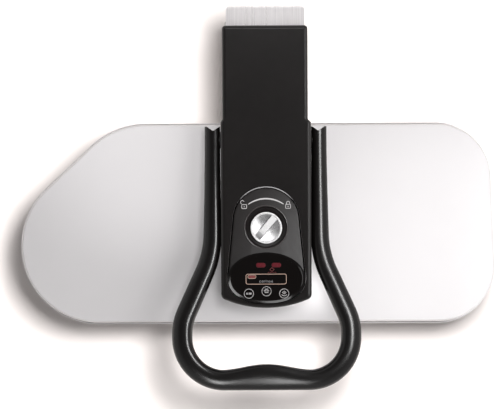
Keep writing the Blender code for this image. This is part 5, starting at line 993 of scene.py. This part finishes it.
def lamp(name, place, aim, size, power, lights=True, shines=True, shade=True, only=()):
    """An area lamp that may light without showing in gloss, show in gloss alone as a strip box does, only
    fill, or reach a few pieces alone."""
    made = hang(name, "AREA", place, aim, power, only or ("floor",), "INCLUDE" if only else "EXCLUDE")
    made.data.shape = "RECTANGLE"
    made.data.size, made.data.size_y = size
    made.data.use_shadow = shade
    made.visible_glossy, made.visible_diffuse = shines, lights


def snoot(name, place, aim, power, wide, only):
    """A soft spot that reaches a few pieces alone and throws no shade, as wide as the degrees given."""
    made = hang(name, "SPOT", place, aim, power, only)
    made.data.spot_size, made.data.spot_blend = math.radians(wide), 1.0
    made.data.use_shadow, made.data.shadow_soft_size = False, 0.02
    made.visible_glossy = False


def studio():
    """The camera over the press and the lamps round it."""
    camera = placed("camera", bpy.data.cameras.new("camera"))
    camera.data.sensor_width, camera.data.lens, camera.data.clip_end = 36.0, 131.7, 50
    camera.location = (-0.010, -0.0091, 2.6)
    camera.rotation_euler = (0, 0, math.radians(-0.27))
    scene.camera = camera
    chrome = ("knob_turned", "knob_dish_upper", "knob_dish_lower", "knob_bar")
    lamp("top", (0.17, 0.22, 1.95), (0, -0.02, 0.15), (0.32, 0.32), 8.6, shines=False)
    lamp("floor_key", (0.19, 0.18, 1.82), (0, 0, 0), (0.40, 0.40), 46, shines=False, only=("floor",))
    lamp("top_fill", (0.17, 0.22, 1.95), (0, -0.02, 0.15), (0.32, 0.32), 4.2, shines=False, shade=False)
    lamp("side", (0.80, 0.10, 1.10), (0.08, 0.0, 0.14), (0.5, 0.5), 1.5, shines=False)
    lamp("side_fill", (0.80, -0.30, 1.10), (0.08, 0.0, 0.14), (1.0, 1.0), 6.3, shines=False, shade=False)
    snoot("between", (0.068, -0.125, 1.20), (0.068, -0.125, 0.15), 30, 4.2, ("plate_shell",))
    snoot("left_rear", (-0.13, 0.13, 1.40), (-0.13, 0.12, 0.15), 15, 22, ("plate_shell",))
    snoot("rear_end", (0.011, 0.27, 1.30), (0.011, 0.255, 0.2), 16, 9, ("arm_channel_form",))
    snoot("right_front", (0.22, -0.08, 1.40), (0.22, -0.08, 0.15), 14, 26, ("plate_shell",))
    lamp("spark", (0.85, -0.05, 1.75), (0, 0, 0.15), (0.95, 0.14), 6, lights=False)
    lamp("spark_line", (0.85, 0.20, 1.75), (0, 0.20, 0.15), (1.30, 0.36), 50, lights=False, shade=False,
         only=("handle_loop",))
    lamp("upper_right", (0.52, 0.58, 1.60), (0, 0, 0.2), (1.10, 1.10), 7.6, lights=False, only=chrome)
    lamp("rear_glow", (0.0, 0.75, 1.60), (0, 0.1, 0.2), (0.90, 0.35), 4.5, lights=False, only=("arm_shell",))
    lamp("edge_glow", (1.20, -0.05, 1.25), (0, 0, 0.2), (1.10, 0.40), 7.0, lights=False, only=("arm_shell",))
    lamp("well_glow", (0.05, 0.80, 1.50), (0, 0, 0.2), (0.60, 0.60), 17, lights=False, shade=False,
         only=("knob_well",))
    lamp("panel_glow", (0.26, -0.26, 1.70), (0, 0, 0.2), (0.62, 0.40), 3.2, lights=False,
         only=("fascia_panel",))
    lamp("front", (-0.19, -1.22, 1.40), (0, -0.23, 0.2), (0.36, 0.52), 15, lights=False,
         only=("handle_loop",))
    lamp("front_low", (0.22, -1.00, 1.25), (0, 0, 0.2), (0.45, 0.65), 9, lights=False, only=("lens_gloss",))
    lamp("front_left", (-0.72, -0.62, 1.35), (0, 0, 0.2), (0.80, 0.75), 27, lights=False,
         only=("lens_gloss", "well_lip"))


def room():
    """White walls under a dimmer ceiling, seen alike by the camera and by reflections, and dim as a light."""
    world = bpy.data.worlds.new("studio")
    scene.world = world
    world.use_nodes = True
    tree = world.node_tree
    back = tree.nodes["Background"].inputs
    seen = looked_at(tree, "Camera", "Glossy", "Transmission")
    way = wire(tree, "SeparateXYZ", {0: wire(tree, "TexCoord", {}, "Generated")}, "Z")
    walls = ranged(tree, way, (0.42, 0.88), (1.0, 0.22), "SMOOTHSTEP")
    strength = wire(tree, "Mix", {"Factor": seen, "A": 0.22, "B": walls}, "Result")
    tree.links.new(strength, back["Strength"])
    back["Color"].default_value = (1, 1, 1, 1)
    scene.view_settings.view_transform = "Standard"


ground()
studio()
room()
